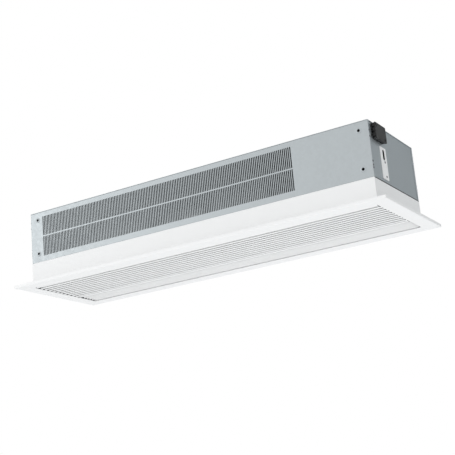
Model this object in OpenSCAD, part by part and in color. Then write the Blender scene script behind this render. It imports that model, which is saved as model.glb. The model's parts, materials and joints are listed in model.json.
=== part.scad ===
// Air curtain that is built into a ceiling above a doorway.
// The origin is on the casing's top face, at the centre of its four hanging nuts.
// X runs along the casing, the slotted side faces -Y, and air leaves downwards at the back.

/* [Casing] */
// Length of the casing
casing_length = 1000; // [900:10:1300]
// Depth of the casing from front to back
casing_depth = 266; // [260:1:300]
// Height of the casing above the trim
casing_height = 138; // [137:1:160]
// Sheet thickness of the casing's panels
sheet = 1.2; // [0.8:0.1:1.6]
// Strip that the long panels turn round the casing's ends
end_return = 8; // [7:1:14]
// Strip that the panels turn under the top panel
top_return = 14; // [11:1:20]
// Spacing of the screws along the top panel's long edges
top_screw_pitch = 190; // [120:5:300]
// Distance from the top panel's ends to the first screw
top_screw_inset = 60; // [50:1:90]

/* [Intake slots] */
// Plain strip from the left end to the first slot
slot_start = 41; // [36:1:60]
// Plain length of the front panel that covers the electrics
slot_blank = 199; // [180:1:240]
// Plain strip under the slots
slot_low = 15; // [12:0.5:24]
// Plain strip above the slots
slot_high = 14.5; // [12:0.5:24]
// Bar between the two rows of slots
slot_bar = 3; // [2:0.5:8]
// Spacing of the slots
slot_pitch = 5; // [4.5:0.1:10]
// Width of a slot
slot_width = 2.9; // [2:0.1:3.5]

/* [Hanging points] */
// Spacing of the top nuts along the casing
rod_spacing_x = 900; // [700:10:940]
// Spacing of the top nuts across the casing
rod_spacing_y = 200; // [150:5:220]
// Distance from the casing's ends to the side nuts
nut_inset = 24.5; // [20:0.5:30]
// Height of the lower side nuts above the casing's lower edge
nut_low = 23; // [20:0.5:30]
// Height between the two rows of side nuts
nut_rise = 93; // [60:1:100]
// Bore of a rivet nut before its thread
nut_bore = 6.8; // [5:0.1:8.5]
// Outside diameter of a rivet nut's barrel
nut_barrel = 10.8; // [10:0.1:12]
// Diameter of a rivet nut's head
nut_head = 14; // [13:0.5:18]
// Thickness of a rivet nut's head
nut_head_thickness = 0.8; // [0.5:0.1:1.2]
// Length of a rivet nut inside the panel
nut_length = 15; // [10:0.5:20]

/* [Trim] */
// Distance from the casing's lower edge down to the trim's underside
collar_drop = 66.5; // [62:0.5:90]
// Reach of the flange beyond the casing
flange_reach = 35; // [25:1:50]
// Height of the flange's outer edge
flange_edge = 8.2; // [6:0.1:12]
// Sheet thickness of the trim
trim_sheet = 1.5; // [1:0.1:2]
// Width of the strip that seats on the ceiling
seat_width = 10; // [6:1:14]
// Height of the tongue that enters the casing
tongue_height = 12; // [8:1:18]
// Distance from a casing corner to the nearest tongue
tongue_end = 10; // [8:1:20]
// Open joint between the end panels and the collar
shadow_gap = 1.2; // [0.6:0.1:2]
// Strip of flange inside the casing's front line
lip_front = 2; // [2:0.2:3]
// Strip of flange inside the casing's back line
lip_back = 3; // [2.5:0.5:6]
// Strip of flange inside the casing's end lines
lip_end = 2.2; // [2.1:0.1:2.5]
// Leg length of the brackets inside the collar's corners
corner_leg = 30; // [20:1:45]
// Height of the brackets inside the collar's corners
corner_height = 24; // [12:1:26]

/* [Air duct] */
// Depth of the air outlet from the divider to the back lip
outlet_depth = 65.4; // [62:0.2:70]
// Width of the fan deck from its front edge to the divider
deck_reach = 108; // [100:1:116]
// Sheet thickness of the deck, the divider and the partition
deck_sheet = 2; // [1.5:0.1:2.5]
// Flange that fixes the divider under the deck
divider_flange = 14; // [8:1:24]
// Gap between the last slot and the partition
partition_gap = 4; // [2:1:12]

/* [Outlet vanes] */
// Spacing of the outlet vanes
vane_pitch = 12; // [10:0.5:12.5]
// Height of a vane
vane_height = 22; // [16:1:24]
// Thickness of a vane
vane_thickness = 2; // [1.6:0.1:2.4]
// Lean of the vanes at rest, with their tops towards the front
vane_lean = 28; // [0:1:30]
// Height of a vane's lower edge above the trim's underside
vane_rise = 1.2; // [1.2:0.1:3]
// Diameter of the vanes' pivot pins
pivot_d = 3; // [2.5:0.1:3.6]
// Thickness of the plates that carry the vanes
pivot_plate = 2.5; // [2:0.1:4]
// Distance from a vane's pivot up to its link pin
link_arm = 8; // [7:0.5:9]
// Diameter of the link pins
link_pin_d = 2.4; // [2:0.1:2.8]
// Height of the link bar
link_height = 5; // [4.4:0.2:6]
// Thickness of the link bar
link_thickness = 1.5; // [1.2:0.1:2.4]

/* [Intake grille] */
// Number of blades in the grille
blade_count = 10; // [8:1:11]
// Spacing of the blades
blade_pitch = 16.4; // [15:0.1:16.6]
// Thickness of a blade
blade_thickness = 1.5; // [1:0.1:2]
// Width of a blade across its slope
blade_width = 16; // [14:0.5:18]
// Slope of a blade away from upright
blade_slope = 35; // [15:1:45]
// Reach of a blade's foot in front of the blade
foot_front = 3.4; // [2.4:0.1:4]
// Reach of a blade's foot behind the blade
foot_back = 2.8; // [1:0.1:3.5]
// Height of a blade's foot
foot_height = 1.5; // [1:0.1:2]
// Width of the grille's front rail
front_rail_width = 8; // [8:0.2:9]
// Width of the grille's rear rail
rear_rail_width = 8; // [5:0.2:9]
// Height of the grille's rails
rail_height = 14.4; // [14:0.2:16]
// Wall of the hollow front rail
rail_wall = 1.2; // [1:0.1:1.3]
// Bevel along the front rail's lower edge
rail_bevel = 2; // [1.6:0.1:2.4]
// Height of the rails' underside above the trim's underside
grille_rise = 1; // [0.8:0.1:2]
// Gap between the front rail and the trim's lip
grille_gap = 3.6; // [3:0.1:4]
// Gap between the rear rail and the divider
rear_gap = 1.4; // [1.2:0.1:2]
// Thickness of the combs at the blades' ends
comb_thickness = 2; // [1.5:0.1:3]
// Height of the combs' lower edge above the rails' underside
comb_rise = 1.3; // [1:0.1:2]
// Number of bars across the blades
cross_bar_count = 3; // [2:1:5]
// Width of a cross bar
cross_bar_width = 3; // [2:0.5:6]
// Height of a cross bar
cross_bar_height = 6; // [4:0.5:8]
// Diameter of the hinge pins
hinge_pin_d = 3; // [2.4:0.1:3.2]
// Length of the plug that carries a hinge pin inside the front rail
hinge_plug = 12; // [8:1:20]
// Height of the hinge axis above the rails' underside
hinge_rise = 4; // [3.8:0.1:4.2]
// Thickness of the hinge brackets
hinge_bracket = 1.2; // [1:0.1:1.5]
// Distance from the grille's middle to each catch
catch_offset = 320; // [200:10:380]
// Length of a catch along the divider
catch_length = 18; // [12:1:30]
// Thickness of a catch's spring strip
catch_strip = 0.8; // [0.5:0.1:1]
// Thickness of the fin that a catch holds
fin_thickness = 1.5; // [1:0.1:2]
// Height of the fin that a catch holds
fin_height = 8; // [6:0.5:10]
// Free space on each side of the fin in its catch
fin_gap = 1; // [0.9:0.1:1.2]

/* [Fans] */
// Height of the fan axis below the top face
fan_drop = 78; // [77:0.5:79]
// Radius of an impeller
impeller_r = 44; // [42:0.5:45]
// Depth of an impeller's blades
impeller_blade = 8; // [6:0.5:9]
// Gap between an impeller and its scroll's sides
impeller_side_gap = 7; // [5:0.5:20]
// Number of blades on an impeller
impeller_blades = 28; // [20:1:32]
// Thickness of an impeller's blades
impeller_sheet = 0.9; // [0.6:0.1:1.2]
// Thickness of an impeller's discs and rings
impeller_disc = 2.4; // [2:0.2:3]
// Radius of an impeller's hub
hub_r = 13; // [11:0.5:15]
// Length of an impeller's hub
hub_length = 26; // [20:1:36]
// Least radius of the scroll
scroll_start_r = 50; // [49:0.5:51]
// Largest radius of the scroll
scroll_end_r = 85; // [83:0.5:85]
// Sheet thickness of the scroll
scroll_sheet = 1; // [0.8:0.1:1.2]
// Inside width of a scroll
scroll_width = 164; // [160:1:170]
// Throat radius of an inlet ring
inlet_r = 33; // [30:0.5:34]
// Radius of an inlet ring's rounded mouth
inlet_round = 6; // [4:0.5:6.5]
// Length of the space between the motor and a scroll
inlet_room = 46; // [36:1:60]

/* [Motor] */
// Length of the motor's case
motor_length = 108; // [90:1:120]
// Radius of the motor's case
motor_r = 40; // [36:0.5:41]
// Wall of the motor's case
motor_wall = 2.5; // [2:0.1:3.5]
// Thickness of an end shield
shield_thickness = 6; // [5:0.5:8]
// Radius of the shaft
shaft_r = 6; // [5:0.5:7]
// Outside radius of a bearing
bearing_r = 14; // [12:0.5:16]
// Width of a bearing
bearing_width = 9; // [7:0.5:11]
// Radius of the motor's rotor
rotor_r = 21; // [18:0.5:23]
// Length of the motor's rotor and stator
stack_length = 52; // [40:1:60]
// Thickness of the cradle's plates
cradle_sheet = 2.5; // [2:0.1:3]
// Depth of the cradle across the motor
cradle_depth = 76; // [70:1:80]
// Width of the straps over the motor
strap_width = 14; // [10:1:18]
// Thickness of the straps over the motor
strap_sheet = 1.5; // [1:0.1:2]
// Radius of the motor lead
lead_r = 3; // [2.5:0.1:3.5]
// Radius of the motor lead's bends
lead_bend = 12; // [9:0.5:14]
// Straight length of lead that leaves the motor
lead_exit = 26; // [24:1:30]
// Height of the motor lead above the deck
lead_rise = 10.5; // [9:0.5:14]

/* [Electrics] */
// Length of the terminal box across the casing's end
box_width = 57; // [50:0.5:70]
// Height of the terminal box
box_height = 37; // [34:0.5:44]
// Depth of the terminal box without its lid
box_depth = 7.5; // [7.5:0.5:22]
// Wall of the terminal box
box_wall = 1.6; // [1.4:0.1:1.9]
// Distance from the casing's front to the terminal box
box_front = 22.9; // [16:0.1:26]
// Distance from the casing's top down to the terminal box
box_drop = 3; // [2:0.2:8]
// Thickness of the terminal box's lid
lid_thickness = 2.5; // [2.5:0.1:5]
// Strip by which the lid overhangs the box
lid_overhang = 1; // [0.6:0.1:1.4]
// Spacing of the cable glands
gland_pitch = 11.8; // [11:0.1:12]
// Diameter of a cable gland's nut across its flats
gland_nut = 7; // [6.4:0.1:7.4]
// Length of a cable gland outside its box
gland_length = 6; // [5:0.5:9]
// Diameter of the cable that a gland takes
gland_bore = 4; // [3:0.1:4.2]
// Width of the end strap
strap_end_width = 31; // [26:0.5:34]
// Height of the end strap
strap_end_height = 78.5; // [70:0.5:84]
// Thickness of the end strap
strap_end_sheet = 2; // [1.5:0.1:3]
// Distance from the casing's front to the end strap
strap_end_front = 55; // [50:1:60]
// Height of the end strap's foot above the casing's lower edge
strap_end_low = 8.5; // [6:0.5:12]
// Width of the slot in the end strap
strap_slot_width = 10.5; // [8:0.1:11]
// Height of the slot in the end strap
strap_slot_height = 26; // [18:0.5:30]
// Radius of a rivet's shank
rivet_r = 1.6; // [1.2:0.1:2]
// Radius of a rivet's head
rivet_head_r = 2.8; // [2.4:0.1:3.4]
// Thickness of a rivet's head
rivet_head = 0.9; // [0.6:0.1:1.4]
// Radius of a screw's shank
screw_r = 2; // [1.6:0.1:2.4]
// Radius of a screw's head
screw_head_r = 4; // [3.5:0.1:5]
// Thickness of a screw's head
screw_head = 1.8; // [1.4:0.1:2.6]
// Length of a screw under its head
screw_length = 8; // [6:0.5:8]
// Length of the control board
board_length = 110; // [90:1:120]
// Width of the control board
board_width = 84; // [70:1:90]
// Thickness of the control board
board_thickness = 1.6; // [1:0.1:2.4]
// Height of the board's standoffs
standoff_height = 8; // [5:0.5:14]
// Radius of the board's standoffs
standoff_r = 3; // [2.5:0.1:4]
// Radius of the run capacitor
capacitor_r = 16; // [12:0.5:18]
// Length of the run capacitor
capacitor_length = 62; // [50:1:70]
// Length of the terminal block
block_length = 34; // [28:1:40]
// Width of the terminal block
block_width = 18; // [14:1:22]
// Height of the terminal block
block_height = 20; // [18:0.5:24]

/* [Hidden] */
$fn = 48;
// Gap of pieces that seat against each other
seat_gap = 0.3;
// Radial gap of a pin that turns in its bore
run_gap = 0.05;
// Overrun of every cut
overrun = 1;
galvanised = "#AEB9BD";
white = "#F1F3F3";
black = "#2B2B2C";
steel = "#8E9599";

half_length = casing_length / 2;
front_y = -casing_depth / 2;
back_y = casing_depth / 2;
casing_floor = -casing_height;
trim_floor = casing_floor - collar_drop;
partition_x = half_length - slot_blank + partition_gap;
end_face = half_length - sheet;
tongue_face = 2 * sheet + seat_gap;
inner_half = half_length - tongue_face - trim_sheet - seat_gap;
inner_back = back_y - sheet - seat_gap - trim_sheet - seat_gap;
collar_inner = half_length - trim_sheet;

outlet_back = back_y - lip_back;
outlet_front = outlet_back - outlet_depth;
divider_y = outlet_front - deck_sheet;
deck_top = casing_floor + deck_sheet;
deck_front = divider_y - deck_reach;

impeller_width = scroll_width - 2 * impeller_side_gap;
fan_y = outlet_back - lip_back - scroll_end_r;
fan_z = -fan_drop;
fan_centre = (partition_x - half_length) / 2;
scroll_inner = motor_length / 2 + inlet_room;
scroll_middle = scroll_inner + scroll_sheet + scroll_width / 2;
cut_angle = 50;
turn_steps = 40;
cut_y = fan_y + scroll_start_r * cos(cut_angle);

hinge_z = trim_floor + grille_rise + hinge_rise;
rail_front = front_y + lip_front + grille_gap;
hinge_y = rail_front + hinge_rise;
rail_back = divider_y - rear_gap;
grille_floor = trim_floor + grille_rise;
comb_outer = collar_inner - hinge_bracket - 2 * seat_gap;
comb_inner = comb_outer - comb_thickness;
rail_top = grille_floor + rail_height;
fin_y = rail_back - rear_rail_width / 2;

vane_count = 5;
vane_half = (vane_height - vane_thickness) / 2;
vane_z = trim_floor + vane_rise + vane_thickness / 2 + vane_half * cos(vane_lean);
link_back = link_arm * sin(vane_lean);
link_rise = link_arm * cos(vane_lean);
vane_middle = (outlet_front + outlet_back) / 2;
plate_outer = collar_inner;
plate_inner = plate_outer - pivot_plate;
link_outer = plate_inner - 2 * seat_gap;
link_inner = link_outer - link_thickness;
vane_right = link_inner - 2 * seat_gap;
vane_left = plate_inner - seat_gap;

// Places of the side nuts in the long panels, as [x, z]
side_nut_places = [
  for (x = [nut_inset - half_length, half_length - nut_inset])
    for (z = [casing_floor + nut_low, casing_floor + nut_low + nut_rise]) [x, z]
];
// Places of the hanging nuts in the top panel, as [x, y]
top_nut_places = [
  for (x = [-rod_spacing_x / 2, rod_spacing_x / 2])
    for (y = [-rod_spacing_y / 2, rod_spacing_y / 2]) [x, y]
];
// Shares of the casing's height at which rivets hold the end returns
rivet_shares = [0.184, 0.295, 0.724, 0.793, 0.839];
rivet_in = end_return / 2.4;
// Shares of the strap's height at which rivets hold an end strap
strap_rivet_shares = [0.095, 0.548];

// Places along X of the top panel's screws, and their distance from its long edges
screw_span = casing_length - 2 * top_screw_inset;
screw_steps = max(1, round(screw_span / top_screw_pitch));
screw_xs = [for (i = [0 : screw_steps]) i * screw_span / screw_steps - screw_span / 2];
screw_line = top_return * 0.6;
top_screw_places = [for (y = [screw_line - back_y, back_y - screw_line]) for (x = screw_xs) [x, y]];

// Stands a drawing in the XZ plane and gives it a thickness towards +Y
module upright(thickness) {
  translate([0, thickness, 0]) rotate([90, 0, 0]) linear_extrude(thickness) children();
}

// Sweeps a drawing in the YZ plane along X from one place to another
module along_x(from, to) {
  translate([from, 0, 0]) rotate([90, 0, 90]) linear_extrude(to - from) children();
}

// Cylinder along X between two places
module rod_x(r, from, to) {
  translate([from, 0, 0]) rotate([0, 90, 0]) cylinder(r = r, h = to - from);
}

// Block between a low and a high corner
module block(low, high) {
  translate(low) cube(high - low);
}

// Round places cut through the drawing of a long panel
module side_holes() {
  for (p = side_nut_places) translate(p) circle(d = nut_barrel);
}

// Long panel with its outer face at Y zero and its inside towards +Y
module long_panel() {
  difference() {
    union() {
      upright(sheet)
        difference() {
          translate([-half_length, casing_floor]) square([casing_length, casing_height - sheet]);
          side_holes();
          children();
        }
      block(
        [sheet + seat_gap - end_face, 0, -2 * sheet],
        [end_face - sheet - seat_gap, top_return, -sheet]
      );
      for (side = [-1, 1])
        block(
          [side > 0 ? end_face : -half_length, 0, casing_floor],
          [side > 0 ? half_length : -end_face, end_return, -sheet]
        );
    }
    for (share = rivet_shares)
      translate([0, rivet_in, -share * casing_height])
        rod_x(rivet_r + run_gap, -half_length - overrun, half_length + overrun);
    for (x = screw_xs)
      translate([x, screw_line, -2 * sheet - overrun])
        cylinder(r = screw_r + run_gap, h = sheet + 2 * overrun);
  }
}

// Drawing of the two rows of slots
module slot_field() {
  field = casing_length - slot_start - slot_blank;
  count = floor((field - slot_width) / slot_pitch) + 1;
  row = (casing_height - slot_low - slot_high - slot_bar) / 2;
  for (i = [0 : count - 1])
    for (j = [0, 1])
      translate([slot_start - half_length + i * slot_pitch, casing_floor + slot_low + j * (row + slot_bar)])
        square([slot_width, row]);
}

module top_panel() {
  color(galvanised)
    translate([0, 0, -sheet])
      linear_extrude(sheet)
        difference() {
          translate([-half_length, front_y]) square([casing_length, casing_depth]);
          for (p = top_nut_places) translate(p) circle(d = nut_barrel);
          for (p = top_screw_places) translate(p) circle(r = screw_r + run_gap);
        }
}

module front_panel() {
  color(galvanised) translate([0, front_y, 0]) long_panel() slot_field();
}

module back_panel() {
  color(galvanised) translate([0, back_y, 0]) mirror([0, 1, 0]) long_panel();
}

// End panel on the +X side with a strip turned in under the top panel
module end_panel() {
  difference() {
    union() {
      block([end_face - sheet, front_y + sheet, casing_floor], [end_face, back_y - sheet, -sheet]);
      block(
        [end_face - top_return, front_y + top_return + seat_gap, -2 * sheet],
        [end_face - sheet, back_y - top_return - seat_gap, -sheet]
      );
    }
    for (side = [-1, 1])
      for (share = rivet_shares)
        translate([0, side * (back_y - rivet_in), -share * casing_height])
          rod_x(rivet_r + run_gap, end_face - sheet - overrun, end_face + overrun);
    strap_rivet_cuts();
    along_x(end_face - sheet - overrun, end_face + overrun) strap_slot(2 * seat_gap);
  }
}

module strap_rivet_cuts() {
  for (p = strap_rivet_places)
    translate([0, p[0], p[1]])
      rod_x(rivet_r + run_gap, end_face - sheet - overrun, half_length + strap_end_sheet + overrun);
}

// Edges of an end strap, and the places of its rivets as [y, z]
strap_near = front_y + strap_end_front;
strap_low = casing_floor + strap_end_low;
strap_slot_top = strap_low + strap_end_height - strap_slot_width / 2;
strap_rivet_places = [
  for (share = strap_rivet_shares)
    [strap_near + 0.6 * strap_end_width, strap_low + share * strap_end_height]
];

module left_end_panel() {
  color(galvanised) mirror([1, 0, 0]) end_panel();
}

module right_end_panel() {
  color(galvanised)
    difference() {
      end_panel();
      translate([0, box_y, box_z]) rod_x(gland_bore, end_face - sheet - overrun, end_face + overrun);
    }
}

// Sheet that closes off the electrics, with its floor in front of the deck
module electrics_partition() {
  color(galvanised)
    difference() {
      union() {
        block(
          [partition_x, front_y + top_return + seat_gap, casing_floor],
          [partition_x + deck_sheet, back_y - top_return - seat_gap, -2 * sheet - seat_gap]
        );
        block(
          [partition_x, front_y + top_return + seat_gap, casing_floor],
          [inner_half, deck_front - seat_gap, deck_top]
        );
      }
      block(
        [partition_x - overrun, deck_front - seat_gap, casing_floor - overrun],
        [partition_x + deck_sheet + overrun, back_y, deck_top]
      );
      lead_hole();
    }
}

module lead_hole() {
  translate([0, lead_y, lead_z])
    rod_x(lead_r * 1.7, partition_x - overrun, partition_x + deck_sheet + overrun);
}

module fan_deck() {
  color(galvanised)
    translate([0, 0, casing_floor])
      linear_extrude(deck_sheet)
        difference() {
          translate([-inner_half, deck_front]) square([2 * inner_half, inner_back - deck_front]);
          for (side = [-1, 1])
            translate([fan_centre + side * scroll_middle - scroll_width / 2, cut_y])
              square([scroll_width, fan_y + scroll_end_r - cut_y]);
        }
}

module outlet_divider() {
  color(galvanised)
    along_x(-inner_half, inner_half)
      polygon([
        [divider_y, trim_floor + trim_sheet + 4 * seat_gap],
        [outlet_front, trim_floor + trim_sheet + 4 * seat_gap],
        [outlet_front, casing_floor],
        [divider_y - divider_flange, casing_floor],
        [divider_y - divider_flange, casing_floor - deck_sheet],
        [divider_y, casing_floor - deck_sheet],
      ]);
}

// Section of the trim, measured out from the casing's face and up from the trim's underside
module trim_section(lip, gap, tongue) {
  top = collar_drop - gap;
  polygon([
    [-lip, 0], [flange_reach, 0], [flange_reach, flange_edge],
    [flange_reach - seat_width, flange_edge], [flange_reach - seat_width, flange_edge - trim_sheet],
    [flange_reach - trim_sheet, flange_edge - trim_sheet], [flange_reach - trim_sheet, trim_sheet],
    [0, trim_sheet], [0, top], [-tongue, top],
    [-tongue, top + gap + tongue_height], [-tongue - trim_sheet, top + gap + tongue_height],
    [-tongue - trim_sheet, top - trim_sheet], [-trim_sheet, top - trim_sheet],
    [-trim_sheet, trim_sheet], [-lip, trim_sheet],
  ]);
}

// Trim piece with mitred ends and a tongue that stops short of the corners
// half_run is half the casing's side that the piece follows, and face is its distance from the middle
module trim_piece(half_run, face, lip, gap, tongue) {
  in = 2 * tongue_face + trim_sheet;
  out = flange_reach + overrun;
  difference() {
    intersection() {
      translate([0, face, trim_floor])
        along_x(-half_run - flange_reach, half_run + flange_reach) trim_section(lip, gap, tongue);
      translate([0, 0, trim_floor - overrun])
        linear_extrude(collar_drop + tongue_height + 2 * overrun)
          polygon([
            [-half_run - out, face + out], [half_run + out, face + out],
            [half_run - in, face - in], [in - half_run, face - in],
          ]);
    }
    for (side = [-1, 1])
      translate([side * (half_run + out / 2 - tongue_end / 2), face, casing_floor - gap + tongue_height])
        cube([out + tongue_end, 2 * in, 2 * tongue_height], center = true);
  }
}

module long_trim(lip) {
  trim_piece(half_length, back_y, lip, 0, sheet + seat_gap);
}

module front_trim() {
  color(white) mirror([0, 1, 0]) long_trim(lip_front);
}

module back_trim() {
  color(white) long_trim(lip_back);
}

module end_trim() {
  rotate([0, 0, -90]) trim_piece(back_y, half_length, lip_end, shadow_gap, tongue_face);
}

module left_trim() {
  color(white) mirror([1, 0, 0]) end_trim();
}

module right_trim() {
  color(white) end_trim();
}

module trim_corner_brackets() {
  top = casing_floor - shadow_gap - trim_sheet - 4 * seat_gap;
  color(galvanised)
    for (sx = [0, 1])
      for (sy = [0, 1])
        mirror([sx, 0, 0])
          mirror([0, sy, 0])
            translate([collar_inner, back_y - trim_sheet, top - corner_height])
              linear_extrude(corner_height)
                polygon([
                  [0, 0], [-corner_leg, 0], [-corner_leg, -trim_sheet],
                  [-trim_sheet, -trim_sheet], [-trim_sheet, -corner_leg], [0, -corner_leg],
                ]);
}

// Radius of the scroll at an angle turned from the outlet's back wall
function spiral_r(a) =
  scroll_start_r + (scroll_end_r - scroll_start_r) * (a - cut_angle) / (360 - cut_angle);

// Outline of the scroll and its outlet, grown by a wall
function scroll_points(wall) =
  let (first = wall > 0 ? acos((cut_y - wall - fan_y) / (scroll_start_r + wall)) : cut_angle)
  [
    [cut_y - wall, deck_top],
    for (i = [0 : turn_steps])
      let (a = first + (360 - first) * i / turn_steps)
      [fan_y + (spiral_r(a) + wall) * cos(a), fan_z - (spiral_r(a) + wall) * sin(a)],
    [fan_y + scroll_end_r + wall, deck_top],
  ];

// Scroll wrap centred on its own X zero
module scroll_wrap() {
  along_x(-scroll_width / 2, scroll_width / 2)
    difference() {
      polygon(scroll_points(scroll_sheet));
      polygon(scroll_points(0));
      block_outlet();
    }
}

// Clears the channel's mouth at the deck
module block_outlet() {
  translate([cut_y, deck_top - overrun]) square([fan_y + scroll_end_r - cut_y, 2 * overrun]);
}

module scroll_sides() {
  for (side = [-1, 1])
    translate([side * (scroll_width + scroll_sheet) / 2, 0, 0])
      along_x(-scroll_sheet / 2, scroll_sheet / 2)
        difference() {
          polygon(scroll_points(scroll_sheet));
          translate([fan_y, fan_z]) circle(r = inlet_r + inlet_round);
        }
}

module left_scroll_wrap() {
  color(steel) translate([fan_centre - scroll_middle, 0, 0]) scroll_wrap();
}

module left_scroll_sides() {
  color(steel) translate([fan_centre - scroll_middle, 0, 0]) scroll_sides();
}

module right_scroll_wrap() {
  color(steel) translate([fan_centre + scroll_middle, 0, 0]) scroll_wrap();
}

module right_scroll_sides() {
  color(steel) translate([fan_centre + scroll_middle, 0, 0]) scroll_sides();
}

// Inlet ring about Z with its mouth plane at zero and its throat towards -Z
module inlet_ring() {
  rotate_extrude() {
    translate([inlet_r + inlet_round, -inlet_round])
      intersection() {
        difference() {
          circle(r = inlet_round);
          circle(r = inlet_round - scroll_sheet);
        }
        translate([-inlet_round, 0]) square(inlet_round);
      }
    translate([inlet_r + inlet_round, -scroll_sheet]) square([inlet_round / 2, scroll_sheet]);
  }
}

module inlet_rings() {
  mouth = scroll_width / 2 + 2 * scroll_sheet;
  color(galvanised)
    for (fan = [-1, 1])
      for (side = [-1, 1])
        translate([fan_centre + fan * scroll_middle + side * mouth, fan_y, fan_z])
          rotate([0, side * 90, 0]) inlet_ring();
}

module motor_case() {
  color(steel)
    translate([0, fan_y, fan_z])
      difference() {
        rod_x(motor_r, fan_centre - motor_length / 2, fan_centre + motor_length / 2);
        rod_x(motor_r - motor_wall, fan_centre - motor_length, fan_centre + motor_length);
      }
}

module motor_end_shields() {
  pocket = motor_length / 2 - shield_thickness / 2;
  color(steel)
    for (side = [-1, 1])
      translate([fan_centre, fan_y, fan_z])
        mirror([side < 0 ? 1 : 0, 0, 0])
          difference() {
            rod_x(motor_r - motor_wall, motor_length / 2 - 2 * shield_thickness, motor_length / 2);
            rod_x(shaft_r + 4 * seat_gap, 0, motor_length);
            rod_x(bearing_r, pocket - 3 * shield_thickness, pocket);
            difference() {
              rod_x(motor_r - 2 * motor_wall, 0, motor_length / 2 - shield_thickness);
              rod_x(bearing_r + motor_wall, -overrun, motor_length);
            }
          }
}

module motor_stator() {
  color("#7A6048")
    translate([fan_centre, fan_y, fan_z])
      difference() {
        rod_x(motor_r - motor_wall, -stack_length / 2, stack_length / 2);
        rod_x(rotor_r + 2 * seat_gap, -stack_length, stack_length);
      }
}

module motor_bearings() {
  color("silver")
    for (side = [-1, 1])
      translate([fan_centre + side * (motor_length - shield_thickness - bearing_width) / 2, fan_y, fan_z])
        difference() {
          rod_x(bearing_r, -bearing_width / 2, bearing_width / 2);
          rod_x(shaft_r + run_gap, -bearing_width, bearing_width);
        }
}

module motor_cradle() {
  foot = deck_top;
  low = fan_y - cradle_depth / 2;
  color(galvanised) {
    difference() {
      union() {
        block(
          [fan_centre - motor_length / 2, low, foot],
          [fan_centre + motor_length / 2, low + cradle_depth, foot + cradle_sheet]
        );
        for (x = saddle_places)
          block(
            [x - cradle_sheet / 2, low, foot],
            [x + cradle_sheet / 2, low + cradle_depth, fan_z - motor_r / 2]
          );
      }
      translate([0, fan_y, fan_z]) rod_x(motor_r, fan_centre - motor_length, fan_centre + motor_length);
    }
  }
}

saddle_places = [fan_centre - motor_length / 3, fan_centre + motor_length / 3];

// Straps that pass over the motor and end on the saddles
module motor_straps() {
  color("silver")
    for (x = saddle_places)
      translate([x, fan_y, fan_z])
        difference() {
          rod_x(motor_r + run_gap + strap_sheet, -strap_width / 2, strap_width / 2);
          rod_x(motor_r + run_gap, -strap_width, strap_width);
          block(
            [-strap_width, -2 * motor_r, -2 * motor_r],
            [strap_width, 2 * motor_r, -motor_r / 2]
          );
        }
}

module motor_rotor() {
  color("#55595C")
    translate([fan_centre, fan_y, fan_z])
      difference() {
        rod_x(rotor_r, -stack_length / 2, stack_length / 2);
        rod_x(shaft_r, -stack_length, stack_length);
      }
}

module motor_shaft() {
  reach = scroll_middle + hub_length;
  color("silver") translate([fan_centre, fan_y, fan_z]) rod_x(shaft_r, -reach, reach);
}

// Section of one forward-curved blade, from the outer edge in
module impeller_blade_section() {
  inner = impeller_r - impeller_blade;
  rows = 4;
  side = impeller_sheet / 2;
  curve = [
    for (i = [0 : rows]) let (s = i / rows) [inner + impeller_blade * s, impeller_blade * 0.7 * s * s]
  ];
  polygon([
    for (i = [0 : rows]) [curve[i].x, curve[i].y - side],
    for (i = [rows : -1 : 0]) [curve[i].x, curve[i].y + side],
  ]);
}

module impeller() {
  ring_in = impeller_r - impeller_blade;
  difference() {
    union() {
      along_x(-impeller_width / 2, impeller_width / 2)
        for (i = [0 : impeller_blades - 1]) rotate(i * 360 / impeller_blades) impeller_blade_section();
      for (x = [-impeller_width / 2, impeller_width / 2 - impeller_disc])
        difference() {
          rod_x(impeller_r + impeller_sheet, x, x + impeller_disc);
          rod_x(ring_in - impeller_sheet, x - overrun, x + impeller_disc + overrun);
        }
      rod_x(impeller_r + impeller_sheet, -impeller_disc / 2, impeller_disc / 2);
      rod_x(hub_r, -hub_length / 2, hub_length / 2);
    }
    rod_x(shaft_r, -hub_length, hub_length);
  }
}

module left_impeller() {
  color(steel) translate([fan_centre - scroll_middle, fan_y, fan_z]) impeller();
}

module right_impeller() {
  color(steel) translate([fan_centre + scroll_middle, fan_y, fan_z]) impeller();
}

module grille_front_rail() {
  color(white)
    along_x(-comb_inner, comb_inner)
      translate([rail_front, grille_floor])
        difference() {
          polygon([
            [0, rail_bevel], [rail_bevel, 0], [front_rail_width, 0],
            [front_rail_width, rail_height], [0, rail_height],
          ]);
          translate([rail_wall, rail_wall + rail_bevel / 2])
            square([front_rail_width - 2 * rail_wall, rail_height - 2 * rail_wall - rail_bevel / 2]);
        }
}

module grille_rear_rail() {
  color(white) {
    block([-comb_inner, rail_back - rear_rail_width, grille_floor], [comb_inner, rail_back, rail_top]);
    for (side = [-1, 1])
      block(
        [side * catch_offset - catch_length / 2, fin_y - fin_thickness / 2, rail_top],
        [side * catch_offset + catch_length / 2, fin_y + fin_thickness / 2, rail_top + fin_height]
      );
  }
}

// Sections of the blades, each with a flat foot and its top leaning to the front
module blade_sections() {
  run = blade_width * sin(blade_slope);
  rise = min(blade_width * cos(blade_slope), rail_height - rail_wall);
  flat = blade_thickness / cos(blade_slope);
  foot_run = foot_height * run / rise;
  for (i = [1 : blade_count])
    translate([rail_front + front_rail_width - flat + i * blade_pitch, grille_floor])
      polygon([
        [-foot_front, 0], [flat + foot_back, 0], [flat + foot_back, foot_height],
        [flat - foot_run, foot_height], [flat - run, rise], [-run, rise],
        [-foot_run, foot_height], [-foot_front, foot_height],
      ]);
}

// Blades that run through the combs
module grille_blades() {
  color(white) along_x(-comb_outer, comb_outer) blade_sections();
}

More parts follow.
